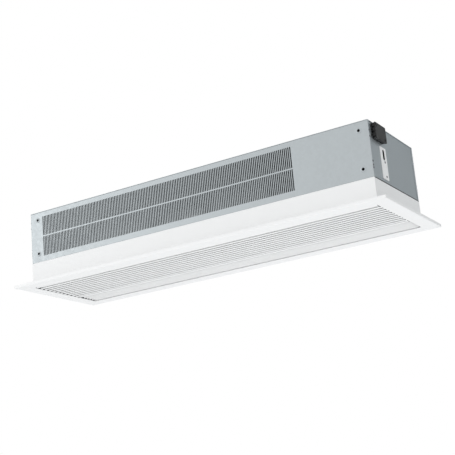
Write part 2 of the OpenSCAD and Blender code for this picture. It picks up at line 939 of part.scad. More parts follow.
module grille_combs() {
  low = grille_floor + comb_rise;
  hollow = front_rail_width - 2 * rail_wall - 2 * seat_gap;
  color(black)
    for (side = [0, 1])
      mirror([side, 0, 0])
        difference() {
          union() {
            block([comb_inner, rail_front + rail_bevel / 2, low], [comb_outer, rail_back, rail_top]);
            block(
              [comb_inner - hinge_plug, rail_front + rail_wall + seat_gap, low + rail_wall],
              [comb_outer, rail_front + rail_wall + seat_gap + hollow, rail_top - rail_wall - seat_gap]
            );
          }
          translate([0, hinge_y, hinge_z])
            rod_x(hinge_pin_d / 2 + run_gap, comb_inner - hinge_plug - overrun, comb_outer + overrun);
          along_x(comb_inner - overrun, comb_outer + overrun) blade_sections();
        }
}

module grille_cross_bars() {
  color(white)
    for (i = [1 : cross_bar_count])
      translate([i * 2 * comb_inner / (cross_bar_count + 1) - comb_inner, 0, rail_top])
        block(
          [-cross_bar_width / 2, rail_front, 0],
          [cross_bar_width / 2, rail_back, cross_bar_height]
        );
}

// Spring strips on the divider that hold the grille's fins
module grille_catches() {
  gap = fin_thickness + 2 * fin_gap;
  near = fin_y + gap / 2;
  far = fin_y - gap / 2;
  low = rail_top + seat_gap;
  top = rail_top + fin_height + 2 * seat_gap;
  color("silver")
    for (side = [-1, 1])
      along_x(side * catch_offset - catch_length / 2, side * catch_offset + catch_length / 2)
        polygon([
          [far - catch_strip, low], [far, low], [far, top], [near, top],
          [near, low], [near + catch_strip, low], [near + catch_strip, top],
          [divider_y, top], [divider_y, top + catch_strip], [far - catch_strip, top + catch_strip],
        ]);
}

module hinge_brackets() {
  color("silver")
    for (side = [0, 1])
      mirror([side, 0, 0])
        difference() {
          block(
            [collar_inner - hinge_bracket, rail_front, trim_floor + trim_sheet],
            [collar_inner, rail_front + 2 * front_rail_width, rail_top]
          );
          translate([0, hinge_y, hinge_z])
            rod_x(hinge_pin_d / 2, comb_outer, collar_inner + overrun);
        }
}

module hinge_pins() {
  color("silver")
    for (side = [0, 1])
      mirror([side, 0, 0])
        translate([0, hinge_y, hinge_z])
          rod_x(hinge_pin_d / 2, comb_inner - hinge_plug + overrun, collar_inner);
}

// Place of a vane's pivot from front to back
function vane_y(i) = vane_middle + (i - (vane_count - 1) / 2) * vane_pitch;

// Place of a vane's link pin from front to back
function link_y(i) = vane_y(i) - link_back;

module vane_section() {
  rotate(vane_lean) {
    translate([-vane_thickness / 2, -vane_half]) square([vane_thickness, 2 * vane_half]);
    for (z = [-vane_half, vane_half]) translate([0, z]) circle(d = vane_thickness);
  }
}

module vane(i) {
  color(white)
    translate([0, vane_y(i), vane_z]) {
      along_x(-vane_left, vane_right) vane_section();
      rod_x(pivot_d / 2, vane_right, plate_outer - seat_gap);
      rod_x(pivot_d / 2, -plate_outer + seat_gap, -vane_left);
      translate([0, -link_back, link_rise]) rod_x(link_pin_d / 2, vane_right, link_outer);
    }
}

module vane_1() {
  vane(0);
}

module vane_2() {
  vane(1);
}

module vane_3() {
  vane(2);
}

module vane_4() {
  vane(3);
}

module vane_5() {
  vane(4);
}

module vane_link() {
  color("silver")
    difference() {
      block(
        [link_inner, link_y(0) - link_height / 2, vane_z + link_rise - link_height / 2],
        [link_outer, link_y(vane_count - 1) + link_height / 2, vane_z + link_rise + link_height / 2]
      );
      for (i = [0 : vane_count - 1])
        translate([0, link_y(i), vane_z + link_rise])
          rod_x(link_pin_d / 2 + 2 * run_gap, link_inner - overrun, link_outer + overrun);
    }
}

module vane_end_plates() {
  color(black)
    for (side = [0, 1])
      mirror([side, 0, 0])
        difference() {
          block(
            [plate_inner, outlet_front + seat_gap, trim_floor + trim_sheet],
            [plate_outer, back_y - trim_sheet - seat_gap, vane_z + vane_half]
          );
          for (i = [0 : vane_count - 1])
            translate([0, vane_y(i), vane_z])
              rod_x(pivot_d / 2 + run_gap, plate_inner - overrun, plate_outer + overrun);
        }
}

box_y = front_y + box_front + box_width / 2;
box_z = -box_drop - box_height / 2;
box_face = end_face + box_depth;

module terminal_box() {
  color(black)
    difference() {
      translate([end_face, box_y, box_z])
        difference() {
          translate([0, -box_width / 2, -box_height / 2]) cube([box_depth, box_width, box_height]);
          translate([box_wall, box_wall - box_width / 2, box_wall - box_height / 2])
            cube([box_depth, box_width - 2 * box_wall, box_height - 2 * box_wall]);
          rod_x(gland_bore, -overrun, box_wall + overrun);
        }
      for (i = [-1 : 1])
        translate([end_face + box_depth / 2, box_y - box_width / 2 - overrun, box_z + i * gland_pitch])
          rotate([-90, 0, 0]) cylinder(d = gland_nut * 0.7, h = box_wall + 2 * overrun);
    }
}

module terminal_box_lid() {
  half_w = box_width / 2 + lid_overhang;
  half_h = box_height / 2 + lid_overhang;
  rim = box_wall + seat_gap;
  color(black)
    translate([box_face, box_y, box_z])
      difference() {
        union() {
          block([0, -half_w, -half_h], [lid_thickness, half_w, half_h]);
          block(
            [-lid_overhang, rim - box_width / 2, rim - box_height / 2],
            [0, box_width / 2 - rim, box_height / 2 - rim]
          );
        }
        for (p = lid_screw_places)
          translate([0, p[0], p[1]]) rod_x(screw_r, -box_depth, lid_thickness + overrun);
      }
}

lid_screw_in = box_wall + screw_head_r;
lid_screw_places = [
  for (side = [-1, 1])
    [side * (box_width / 2 - lid_screw_in), side * (lid_screw_in - box_height / 2)]
];

// Screw along X with its head's underside at zero and its shank towards -X
module screw_x(length) {
  rod_x(screw_r, -length, 0);
  difference() {
    rod_x(screw_head_r, 0, screw_head);
    block(
      [screw_head / 2, -screw_r / 3, -2 * screw_head_r],
      [2 * screw_head, screw_r / 3, 2 * screw_head_r]
    );
  }
}

module terminal_box_screws() {
  color(steel)
    for (p = lid_screw_places)
      translate([box_face + lid_thickness, box_y + p[0], box_z + p[1]]) screw_x(screw_length);
}

// Cable glands on the terminal box's front wall, each with a nut that turns a flat side to the casing
module cable_glands() {
  inside = box_wall + 4 * seat_gap;
  color(black)
    for (i = [-1 : 1])
      translate([end_face + box_depth / 2, box_y - box_width / 2, box_z + i * gland_pitch])
        rotate([90, 30, 0])
          difference() {
            union() {
              translate([0, 0, -inside]) cylinder(d = gland_nut * 0.7, h = inside);
              cylinder(r = gland_nut / 2 / cos(30), h = gland_length / 2, $fn = 6);
              translate([0, 0, gland_length / 2])
                cylinder(d1 = gland_nut * 0.96, d2 = gland_nut * 0.75, h = gland_length / 2);
            }
            translate([0, 0, -2 * inside]) cylinder(d = gland_bore, h = 2 * (inside + gland_length));
          }
}

lead_y = fan_y - motor_r - lead_exit + motor_wall - lead_bend;
lead_z = deck_top + lead_rise;
lead_x = fan_centre;
block_x = partition_x + deck_sheet + block_width;

module terminal_block() {
  posts = 4;
  middle = deck_top + block_height / 2;
  color("#D8D2BE")
    difference() {
      block(
        [block_x, lead_y - block_length / 2, deck_top],
        [block_x + block_width, lead_y + block_length / 2, deck_top + block_height]
      );
      for (i = [1 : posts])
        translate([block_x + block_width / 2, lead_y + (i / (posts + 1) - 1 / 2) * block_length, middle])
          cylinder(r = screw_r, h = block_height);
    }
}

board_x = half_length - top_return - 2 * seat_width - board_length / 2;
board_y = deck_front + board_width / 2 + seat_width;
board_floor = deck_top + standoff_height;
// Corners of the board at which it stands, as shares of its half length and half width
standoff_shares = [[-0.9, -0.88], [-0.9, 0.88], [0.9, -0.88], [0.9, 0.88]];

module control_board() {
  color("#2F6B45")
    translate([board_x, board_y, board_floor])
      linear_extrude(board_thickness)
        difference() {
          translate([-board_length / 2, -board_width / 2]) square([board_length, board_width]);
          for (p = standoff_shares)
            translate([p.x * board_length / 2, p.y * board_width / 2]) circle(r = standoff_r / 2);
        }
}

module board_standoffs() {
  color("silver")
    for (p = standoff_shares)
      translate([board_x + p.x * board_length / 2, board_y + p.y * board_width / 2, deck_top]) {
        cylinder(r = standoff_r, h = standoff_height);
        cylinder(r = standoff_r / 2, h = standoff_height + 2 * board_thickness);
      }
}

// Box-shaped components, each as shares of the board: its middle, its size and its height
component_shares = [
  [-0.3, 0.22, 0.16, 0.2, 0.15], [-0.08, 0.22, 0.16, 0.2, 0.15], [0.14, 0.22, 0.16, 0.2, 0.15],
  [-0.25, -0.28, 0.3, 0.14, 0.11], [0.12, -0.26, 0.2, 0.22, 0.22],
];
// Round components, each as shares of the board: its middle, its radius and its height
can_shares = [[0.34, 0.2, 0.055, 0.2], [0.34, -0.02, 0.055, 0.2], [0.34, -0.28, 0.04, 0.14]];

module board_components() {
  color("#3A4A8A")
    translate([board_x, board_y, board_floor + board_thickness]) {
      for (c = component_shares)
        translate([(c[0] - c[2] / 2) * board_length, (c[1] - c[3] / 2) * board_width, 0])
          cube([c[2] * board_length, c[3] * board_width, c[4] * board_width]);
      for (c = can_shares)
        translate([c[0] * board_length, c[1] * board_width, 0])
          cylinder(r = c[2] * board_length, h = c[3] * board_width);
    }
}

capacitor_y = inner_back - top_return - capacitor_r;
capacitor_z = deck_top + capacitor_r + 2 * cradle_sheet;
capacitor_x = partition_x + deck_sheet + block_width;

module run_capacitor() {
  color("silver")
    translate([0, capacitor_y, capacitor_z]) {
      rod_x(capacitor_r, capacitor_x, capacitor_x + capacitor_length);
      rod_x(capacitor_r / 3, capacitor_x + capacitor_length, capacitor_x + capacitor_length + cradle_sheet);
    }
}

// Clip that holds the capacitor on the deck
module capacitor_clip() {
  middle = capacitor_x + capacitor_length / 2;
  color(black)
    translate([middle, capacitor_y, 0])
      difference() {
        union() {
          translate([0, 0, capacitor_z])
            rod_x(capacitor_r + cradle_sheet, -strap_width / 2, strap_width / 2);
          block(
            [-strap_width / 2, -capacitor_r, deck_top],
            [strap_width / 2, capacitor_r, capacitor_z]
          );
        }
        translate([0, 0, capacitor_z]) rod_x(capacitor_r, -strap_width, strap_width);
      }
}

// Lead from the motor's front, down to the deck and along it to the terminal block
module motor_lead() {
  from_y = fan_y - motor_r;
  bend_y = lead_y + lead_bend;
  low_z = lead_z + lead_bend;
  high_z = fan_z - lead_bend;
  color("#3A3A3C") {
    translate([lead_x, from_y, fan_z]) rotate([90, 0, 0]) cylinder(r = lead_r, h = from_y - bend_y);
    translate([lead_x, bend_y, high_z]) rotate([90, 0, 90]) rotate([0, 0, 90]) lead_elbow();
    translate([lead_x, lead_y, low_z]) cylinder(r = lead_r, h = high_z - low_z);
    translate([lead_x + lead_bend, lead_y, low_z]) rotate([90, 180, 0]) lead_elbow();
    translate([0, lead_y, lead_z]) rod_x(lead_r, lead_x + lead_bend, block_x);
  }
}

module lead_elbow() {
  rotate_extrude(angle = 90) translate([lead_bend, 0]) circle(r = lead_r);
}

module lead_clips() {
  span = partition_x - lead_x - lead_bend;
  color(black)
    for (share = [0.2, 0.5, 0.8])
      translate([lead_x + lead_bend + share * span, lead_y, 0])
        difference() {
          block(
            [-lead_r, -2 * lead_r, deck_top],
            [lead_r, 2 * lead_r, lead_z + lead_r + cradle_sheet]
          );
          translate([0, 0, lead_z]) rod_x(lead_r + run_gap, -2 * lead_r, 2 * lead_r);
        }
}

// Ring that lines the lead's hole in the partition, with a lip on both sides
module lead_grommet() {
  color(black)
    translate([partition_x, lead_y, lead_z])
      difference() {
        union() {
          rod_x(lead_r * 1.7, 0, deck_sheet);
          rod_x(lead_r * 2.2, -deck_sheet, 0);
          rod_x(lead_r * 2.2, deck_sheet, 2 * deck_sheet);
        }
        rod_x(lead_r + run_gap, -deck_sheet - overrun, 2 * deck_sheet + overrun);
      }
}

// Drawing of the end strap's slot in the YZ plane, grown by a margin
module strap_slot(margin) {
  r = strap_slot_width / 2;
  straight = strap_slot_height - 2 * r;
  translate([strap_near + strap_end_width / 2, strap_slot_top - r]) {
    circle(r = r + margin);
    translate([0, -straight]) circle(r = r + margin);
    translate([-r - margin, -straight]) square([2 * (r + margin), straight]);
  }
}

module end_straps() {
  color(white)
    for (side = [0, 1])
      mirror([side, 0, 0])
        difference() {
          along_x(end_face, end_face + strap_end_sheet)
            difference() {
              translate([strap_near, strap_low]) square([strap_end_width, strap_end_height]);
              strap_slot(0);
            }
          strap_rivet_cuts();
        }
}

// Rivet nut about Z with its head on top of zero and its barrel below
module rivet_nut() {
  difference() {
    union() {
      cylinder(d = nut_head, h = nut_head_thickness);
      translate([0, 0, -nut_length]) cylinder(d = nut_barrel, h = nut_length);
    }
    translate([0, 0, -nut_length - overrun]) cylinder(d = nut_bore, h = nut_length + 2 * overrun);
  }
}

module rivet_nuts() {
  color("silver") {
    for (p = top_nut_places) translate([p.x, p.y, 0]) rivet_nut();
    for (p = side_nut_places) {
      translate([p.x, front_y, p.y]) rotate([90, 0, 0]) rivet_nut();
      translate([p.x, back_y, p.y]) rotate([-90, 0, 0]) rivet_nut();
    }
  }
}

// Rivet along X with its head's underside at zero and its shank towards -X
module rivet_x(length) {
  rod_x(rivet_r, -length, 0);
  rotate([0, 90, 0]) cylinder(r1 = rivet_head_r, r2 = rivet_head_r * 0.6, h = rivet_head);
}

module rivets() {
  color("silver")
    for (side = [0, 1])
      mirror([side, 0, 0]) {
        for (back = [-1, 1])
          for (share = rivet_shares)
            translate([half_length, back * (back_y - rivet_in), -share * casing_height]) rivet_x(3 * sheet);
        for (p = strap_rivet_places)
          translate([end_face + strap_end_sheet, p[0], p[1]]) rivet_x(strap_end_sheet + 2 * sheet);
      }
}

module top_screws() {
  color(steel)
    for (p = top_screw_places)
      translate([p.x, p.y, 0]) rotate([0, -90, 0]) screw_x(screw_length);
}

top_panel();
front_panel();
back_panel();
left_end_panel();
right_end_panel();
electrics_partition();
fan_deck();
outlet_divider();
front_trim();
back_trim();
left_trim();
right_trim();
trim_corner_brackets();
left_scroll_wrap();
left_scroll_sides();
right_scroll_wrap();
right_scroll_sides();
inlet_rings();
motor_case();
motor_end_shields();
motor_stator();
motor_bearings();
motor_cradle();
motor_straps();
motor_rotor();
motor_shaft();
left_impeller();
right_impeller();
grille_front_rail();
grille_rear_rail();
grille_blades();
grille_combs();
grille_cross_bars();
grille_catches();
hinge_brackets();
hinge_pins();
vane_1();
vane_2();
vane_3();
vane_4();
vane_5();
vane_link();
vane_end_plates();
terminal_box();
terminal_box_lid();
terminal_box_screws();
cable_glands();
terminal_block();
control_board();
board_components();
board_standoffs();
run_capacitor();
capacitor_clip();
motor_lead();
lead_clips();
lead_grommet();
end_straps();
rivet_nuts();
rivets();
top_screws();
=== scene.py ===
import json
import math

import bmesh
import bpy
from mathutils import Matrix, Vector


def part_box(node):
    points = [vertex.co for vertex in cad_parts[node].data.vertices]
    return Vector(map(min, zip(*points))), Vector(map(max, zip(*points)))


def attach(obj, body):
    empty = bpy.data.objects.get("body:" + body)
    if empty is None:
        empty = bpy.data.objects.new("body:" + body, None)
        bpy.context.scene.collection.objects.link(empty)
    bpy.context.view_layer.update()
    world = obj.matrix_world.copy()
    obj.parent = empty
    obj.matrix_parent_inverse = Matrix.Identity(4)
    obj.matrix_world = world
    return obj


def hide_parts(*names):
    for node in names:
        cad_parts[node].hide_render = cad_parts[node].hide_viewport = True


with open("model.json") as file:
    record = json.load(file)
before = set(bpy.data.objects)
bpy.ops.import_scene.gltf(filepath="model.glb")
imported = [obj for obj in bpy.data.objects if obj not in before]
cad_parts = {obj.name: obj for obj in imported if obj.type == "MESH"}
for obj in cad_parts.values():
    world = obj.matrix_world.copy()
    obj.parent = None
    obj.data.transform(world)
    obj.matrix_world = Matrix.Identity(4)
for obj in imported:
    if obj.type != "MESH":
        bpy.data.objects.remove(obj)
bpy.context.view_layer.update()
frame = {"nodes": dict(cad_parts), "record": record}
print("stage: frame loaded")

mm = 0.001
casingLow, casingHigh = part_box("front_panel")
halfLength = casingHigh.x
frontY = casingLow.y
backY = -frontY
casingFloor = casingLow.z
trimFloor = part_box("front_trim")[0].z

# Camera at the photograph's angle, fitted to the casing's corners
camera = {
    "place": (1.38856, -2.34704, -0.8949),
    "look": (-0.48122, 0.83323, 0.27233),
    "up": (0.21209, -0.19076, 0.95845),
    "lens": 87.6,
}


def makeCamera(s):
    back = -Vector(s["look"]).normalized()
    right = Vector(s["up"]).cross(back).normalized()
    up = back.cross(right)
    data = bpy.data.cameras.new("camera")
    data.lens = s["lens"]
    obj = bpy.data.objects.new("camera", data)
    turn = Matrix((right, up, back)).transposed().to_4x4()
    obj.matrix_world = Matrix.Translation(s["place"]) @ turn
    bpy.context.scene.collection.objects.link(obj)
    bpy.context.scene.camera = obj


# One output of a node tree: sums and products of it add Math nodes to the tree
class Wire:
    def __init__(self, tree, socket):
        self.tree = tree
        self.socket = socket

    def node(self, kind, settings=None, out=0, **values):
        return addNode(self.tree, kind, settings, out, **values)

    def math(self, operation, first, second):
        maths = {"operation": operation}
        return self.node("ShaderNodeMath", maths, 0, **{"0": first, "1": second})

    def __add__(self, other):
        return self.math("ADD", self, other)

    def __radd__(self, other):
        return self.math("ADD", other, self)

    def __mul__(self, other):
        return self.math("MULTIPLY", self, other)

    def __rmul__(self, other):
        return self.math("MULTIPLY", other, self)

    def between(self, low, high):
        span = {"From Min": low, "From Max": high}
        return self.node("ShaderNodeMapRange", {"clamp": True}, 0, Value=self, **span)


def addNode(tree, kind, settings=None, out=0, **values):
    made = tree.nodes.new(kind)
    for name, value in (settings or {}).items():
        setattr(made, name, value)
    for name, value in values.items():
        socket = made.inputs[int(name)] if name.isdigit() else made.inputs[name]
        if isinstance(value, Wire):
            tree.links.new(value.socket, socket)
        elif hasattr(value, "__len__") and len(value) == 3 and socket.type == "RGBA":
            socket.default_value = (*value, 1)
        else:
            socket.default_value = value
    return Wire(tree, made.outputs[out])


def blendColours(fac, first, second):
    settings = {"data_type": "RGBA"}
    return fac.node("ShaderNodeMix", settings, 2, **{"0": fac, "6": first, "7": second})


def startFinish(name):
    material = bpy.data.materials.new(name)
    material.use_nodes = True
    material.node_tree.nodes.clear()
    tree = material.node_tree
    place = addNode(tree, "ShaderNodeTexCoord", None, "Object")
    return material, tree, place


def endFinish(material, tree, **values):
    shader = addNode(tree, "ShaderNodeBsdfPrincipled", None, 0, **values)
    output = tree.nodes.new("ShaderNodeOutputMaterial")
    tree.links.new(shader.socket, output.inputs["Surface"])
    return material


def grain(place, size, detail=3.0, roughness=0.5, stretch=(1, 1, 1)):
    moved = place.node("ShaderNodeMapping", None, 0, Vector=place, Scale=stretch)
    values = {"Vector": moved, "Scale": 1 / size, "Detail": detail, "Roughness": roughness}
    return place.node("ShaderNodeTexNoise", None, 0, **values)


def bumped(height, strength, depth):
    return height.node("ShaderNodeBump", None, 0, Height=height, Strength=strength, Distance=depth)


def tinted(shade, change):
    return tuple(max(0.0, c * change) for c in shade)


# Hot-dip zinc: crystals of slightly different grey, clouds of dull patina and fine scratches
def galvanisedFinish(name, s):
    material, tree, place = startFinish(name)
    values = {"Vector": place, "Scale": 1 / s["crystal"], "Randomness": 1.0}
    crystals = place.node("ShaderNodeTexVoronoi", {"feature": "F1"}, "Color", **values)
    crystal = crystals.node("ShaderNodeSeparateColor", None, 0, Color=crystals)
    cloud = grain(place, s["cloud"], 4.0, 0.6)
    fine = grain(place, s["speck"], 2.0, 0.6)
    scratch = grain(place, s["scratch"], 2.0, 0.5, s["scratchStretch"]).between(*s["scratchSpan"])
    mottle = crystal * s["crystalShare"] + cloud * s["cloudShare"] + fine * s["speckShare"]
    dull, bright = tinted(s["colour"], 1 - s["spread"]), tinted(s["colour"], 1 + s["spread"])
    colour = blendColours(mottle, dull, bright)
    worn = blendColours(scratch * s["scratchShare"], colour, tinted(s["colour"], s["scratchTint"]))
    least = s["roughness"] - (s["crystalRough"] + s["cloudRough"]) / 2
    rough = crystal * s["crystalRough"] + cloud * s["cloudRough"] + least
    normal = bumped(crystal * 0.5 + fine * 0.5, s["bump"], s["bumpDepth"])
    values = {"Base Color": worn, "Metallic": s["metallic"], "Roughness": rough, "Normal": normal}
    return endFinish(material, tree, **values)


# Powder coat: an even colour with the faint orange peel that the coat sets with
def powderFinish(name, s):
    material, tree, place = startFinish(name)
    peel = grain(place, s["peel"], 2.0, 0.5)
    cloud = grain(place, s["cloud"], 3.0, 0.5)
    dust = grain(place, s["dust"], 5.0, 0.7).between(*s["dustSpan"])
    colour = blendColours(cloud, tinted(s["colour"], s["cloudTint"]), s["colour"])
    soiled = blendColours(dust * s["dustShare"], colour, tinted(s["colour"], s["dustTint"]))
    least = s["roughness"] - (s["peelRough"] + s["cloudRough"]) / 2
    rough = peel * s["peelRough"] + cloud * s["cloudRough"] + least
    normal = bumped(peel, s["bump"], s["bumpDepth"])
    values = {"Base Color": soiled, "Roughness": rough, "Normal": normal}
    coat = {"Coat Weight": s["coat"], "Coat Roughness": s["coatRough"]}
    return endFinish(material, tree, **values, **coat)


# Moulded plastic with a spark-eroded texture
moulding = {
    "cloud": 18 * mm, "dark": 0.85, "light": 1.15, "textureRough": 0.12, "cloudRough": 0.08,
    "bumpDepth": 0.06 * mm, "gloss": 0.5,
}


def mouldedFinish(name, colour, roughness, texture, bump, **changes):
    s = dict(moulding, **changes)
    material, tree, place = startFinish(name)
    relief = grain(place, texture, 3.0, 0.7)
    cloud = grain(place, s["cloud"], 3.0, 0.5)
    mottled = blendColours(cloud, tinted(colour, s["dark"]), tinted(colour, s["light"]))
    least = roughness - (s["textureRough"] + s["cloudRough"]) / 2
    rough = relief * s["textureRough"] + cloud * s["cloudRough"] + least
    normal = bumped(relief, bump, s["bumpDepth"])
    values = {"Base Color": mottled, "Roughness": rough, "Normal": normal}
    return endFinish(material, tree, **values, **{"Specular IOR Level": s["gloss"]})


# Bare or plated metal with drawing marks, which run along the axis that has a small scale
drawing = {
    "cloud": 14 * mm, "dark": 0.86, "light": 1.12, "markRough": 0.14, "cloudRough": 0.1,
    "bump": 0.15, "bumpDepth": 0.05 * mm,
}


def metalFinish(name, colour, metallic, roughness, mark, stretch=(1, 1, 1)):
    s = drawing
    material, tree, place = startFinish(name)
    marks = grain(place, mark, 3.0, 0.6, stretch)
    cloud = grain(place, s["cloud"], 4.0, 0.6)
    mottle = marks * 0.5 + cloud * 0.5
    mottled = blendColours(mottle, tinted(colour, s["dark"]), tinted(colour, s["light"]))
    least = roughness - (s["markRough"] + s["cloudRough"]) / 2
    rough = marks * s["markRough"] + cloud * s["cloudRough"] + least
    normal = bumped(marks, s["bump"], s["bumpDepth"])
    values = {"Base Color": mottled, "Metallic": metallic, "Roughness": rough, "Normal": normal}
    return endFinish(material, tree, **values)


# Stack of thin plates: lines square to the X axis, brown with varnish
laminate = {
    "colour": (0.12, 0.075, 0.045), "wave": 3 * mm, "waver": 0.4, "cloud": 6 * mm, "light": 1.7,
    "lineShare": 0.5, "lineTint": 0.5, "metallic": 0.4, "roughness": 0.4, "cloudRough": 0.2,
    "bump": 0.4, "bumpDepth": 0.1 * mm,
}


def laminatedFinish(name, s):
    material, tree, place = startFinish(name)
    values = {"Vector": place, "Scale": 1 / s["wave"], "Distortion": s["waver"]}
    lines = place.node("ShaderNodeTexWave", {"bands_direction": "X"}, "Fac", **values)
    cloud = grain(place, s["cloud"], 3.0, 0.6)
    colour = blendColours(cloud, s["colour"], tinted(s["colour"], s["light"]))
    lined = blendColours(lines * s["lineShare"], colour, tinted(s["colour"], s["lineTint"]))
    rough = cloud * s["cloudRough"] + s["roughness"]
    normal = bumped(lines, s["bump"], s["bumpDepth"])
    values = {"Base Color": lined, "Metallic": s["metallic"], "Roughness": rough, "Normal": normal}
    return endFinish(material, tree, **values)


# Circuit board: green resist with a darker net of tracks in it
resist = {
    "colour": (0.02, 0.13, 0.05), "track": 5 * mm, "line": 0.12, "blur": 0.2, "cloud": 9 * mm,
    "dark": 0.7, "light": 1.25, "roughness": 0.25, "cloudRough": 0.15, "bump": 0.2, "bumpDepth": 0.05 * mm,
}


def boardFinish(name, s):
    material, tree, place = startFinish(name)
    values = {"Scale": 1 / s["track"], "Mortar Size": s["line"], "Mortar Smooth": s["blur"]}
    net = place.node("ShaderNodeTexBrick", None, "Fac", Vector=place, **values)
    cloud = grain(place, s["cloud"], 3.0, 0.5)
    colour = blendColours(net, tinted(s["colour"], s["dark"]), tinted(s["colour"], s["light"]))
    rough = cloud * s["cloudRough"] + s["roughness"]
    values = {"Base Color": colour, "Roughness": rough, "Normal": bumped(net, s["bump"], s["bumpDepth"])}
    return endFinish(material, tree, **values)


zinc = {
    "colour": (0.462, 0.498, 0.514), "metallic": 0.92, "roughness": 0.44, "spread": 0.08,
    "crystal": 7 * mm, "cloud": 45 * mm, "speck": 1.6 * mm,
    "crystalShare": 0.35, "cloudShare": 0.4, "speckShare": 0.25,
    "scratch": 9 * mm, "scratchStretch": (1, 12, 60), "scratchSpan": (0.62, 0.72),
    "scratchShare": 0.12, "scratchTint": 1.2,
    "crystalRough": 0.08, "cloudRough": 0.1, "bump": 0.12, "bumpDepth": 0.1 * mm,
}
# Blower sheet: zinc darkened and dulled to paint the shade inside the closed fan chamber
chamberShadeZinc = dict(zinc, colour=(0.13, 0.135, 0.14), metallic=0.3, roughness=0.55)
whiteCoat = {
    "colour": (0.9, 0.902, 0.9), "roughness": 0.42, "peel": 1.4 * mm, "cloud": 60 * mm,
    "cloudTint": 0.985, "dust": 5 * mm, "dustSpan": (0.6, 0.8), "dustShare": 0.05, "dustTint": 0.8,
    "peelRough": 0.06, "cloudRough": 0.05, "bump": 0.1, "bumpDepth": 0.08 * mm,
    "coat": 0.12, "coatRough": 0.25,
}
grilleCoat = dict(whiteCoat, colour=(0.945, 0.948, 0.945), roughness=0.36)
finishes = {
    "galvanised_sheet": galvanisedFinish("galvanisedSheet", zinc),
    "blower_sheet": galvanisedFinish("blowerSheetShade", chamberShadeZinc),
    "white_trim_paint": powderFinish("whiteTrimCoat", whiteCoat),
    "white_aluminium": powderFinish("whiteGrilleCoat", grilleCoat),
    "white_strap_paint": powderFinish("whiteStrapCoat", dict(whiteCoat, peel=0.9 * mm)),
    "black_plastic": mouldedFinish("blackMoulding", (0.014, 0.014, 0.015), 0.5, 0.7 * mm, 0.2),
    "box_plastic": mouldedFinish("boxMoulding", (0.02, 0.02, 0.0195), 0.55, 0.6 * mm, 0.3),
    "motor_casting": metalFinish("castCase", (0.52, 0.54, 0.55), 0.7, 0.55, 1.2 * mm),
    "motor_laminations": laminatedFinish("motorPlates", laminate),
    "lead_rubber": mouldedFinish("leadSheath", (0.03, 0.03, 0.033), 0.45, 1.2 * mm, 0.1),
    "terminal_plastic": mouldedFinish("terminalMoulding", (0.66, 0.62, 0.5), 0.5, 0.8 * mm, 0.1),
    "board_laminate": boardFinish("boardResist", resist),
    "component_plastic": mouldedFinish("componentMoulding", (0.03, 0.05, 0.16), 0.35, 0.8 * mm, 0.1),
    "capacitor_can": metalFinish("drawnCan", (0.72, 0.73, 0.75), 1.0, 0.36, 0.8 * mm, (0.05, 1, 1)),
    "zinc_plated_steel": metalFinish("zincPlate", (0.62, 0.65, 0.68), 0.9, 0.42, 0.9 * mm, (1, 1, 0.2)),
}
slotOfNode = {row["node"]: row["material_slot"] for row in frame["record"]["subparts"]}
for nodeName, nodeObject in frame["nodes"].items():
    nodeObject.data.materials.clear()
    nodeObject.data.materials.append(finishes[slotOfNode[nodeName]])
print("stage: finishes made")

bodyOfNode = {n: body for body, members in frame["record"]["behaviour"]["bodies"].items() for n in members}

leastArc = 0.01 * mm  # a smaller corner stays sharp
mostOfSide = 0.49  # share of a side that the arc at one of its ends may take
weld = 0.001 * mm  # points nearer than this are one point


# Outline with each corner rounded by the radius, or by one of its own as a third value
def rounded(corners, radius=0.0, steps=3):
    loop = []
    for i, corner in enumerate(corners):
        here = Vector(corner[:2])
        before = Vector(corners[i - 1][:2]) - here
        after = Vector(corners[(i + 1) % len(corners)][:2]) - here
        wanted = corner[2] if len(corner) > 2 else radius
        half = before.angle(after) / 2
        reach = min(wanted / math.tan(half), before.length * mostOfSide, after.length * mostOfSide)
        if reach < leastArc:
            loop.append(tuple(here))
            continue
        own = reach * math.tan(half)
        middle = here + (before.normalized() + after.normalized()).normalized() * own / math.sin(half)
        first = here + before.normalized() * reach - middle
        last = here + after.normalized() * reach - middle
        start = math.atan2(first.y, first.x)
        turn = (math.atan2(last.y, last.x) - start + math.pi) % (2 * math.pi) - math.pi
        for k in range(steps + 1):
            angle = start + turn * k / steps
            loop.append((middle.x + own * math.cos(angle), middle.y + own * math.sin(angle)))
    return loop


def rectangle(lowU, lowV, highU, highV, radius=0.0, steps=3):
    return rounded([(lowU, lowV), (highU, lowV), (highU, highV), (lowU, highV)], radius, steps)


def ring(u, v, radius, steps=24, turn=0.0):
    angles = [2 * math.pi * k / steps + turn for k in range(steps)]
    return [(u + radius * math.cos(a), v + radius * math.sin(a)) for a in angles]


# Solid with straight sides: the first loop is its outline, the others are holes in it
def extruded(loops, length):
    bm = bmesh.new()
    for loop in loops:
        verts = [bm.verts.new((u, v, 0)) for u, v in loop]
        if len(loops) == 1:
            bm.faces.new(verts)
        else:
            for i, vert in enumerate(verts):
                bm.edges.new((verts[i - 1], vert))
    if len(loops) > 1:
        bmesh.ops.triangle_fill(bm, use_beauty=True, use_dissolve=False, edges=bm.edges[:])
    made = bmesh.ops.extrude_face_region(bm, geom=bm.faces[:])
    top = [g for g in made["geom"] if isinstance(g, bmesh.types.BMVert)]
    bmesh.ops.translate(bm, verts=top, vec=(0, 0, length))
    return bm


# Solid turned about its W axis from pairs of radius and height
def turned(profile, steps=32, closed=False):
    bm = bmesh.new()
    rings = []
    for radius, height in profile:
        if radius < weld:
            rings.append([bm.verts.new((0, 0, height))])
        else:
            rings.append([bm.verts.new((u, v, height)) for u, v in ring(0, 0, radius, steps)])
    pairs = list(zip(rings, rings[1:])) + ([(rings[-1], rings[0])] if closed else [])
    for low, high in pairs:
        for i in range(steps):
            j = (i + 1) % steps
            corners = [low[i % len(low)], low[j % len(low)], high[j % len(high)], high[i % len(high)]]
            bm.faces.new(list(dict.fromkeys(corners)))
    return bm


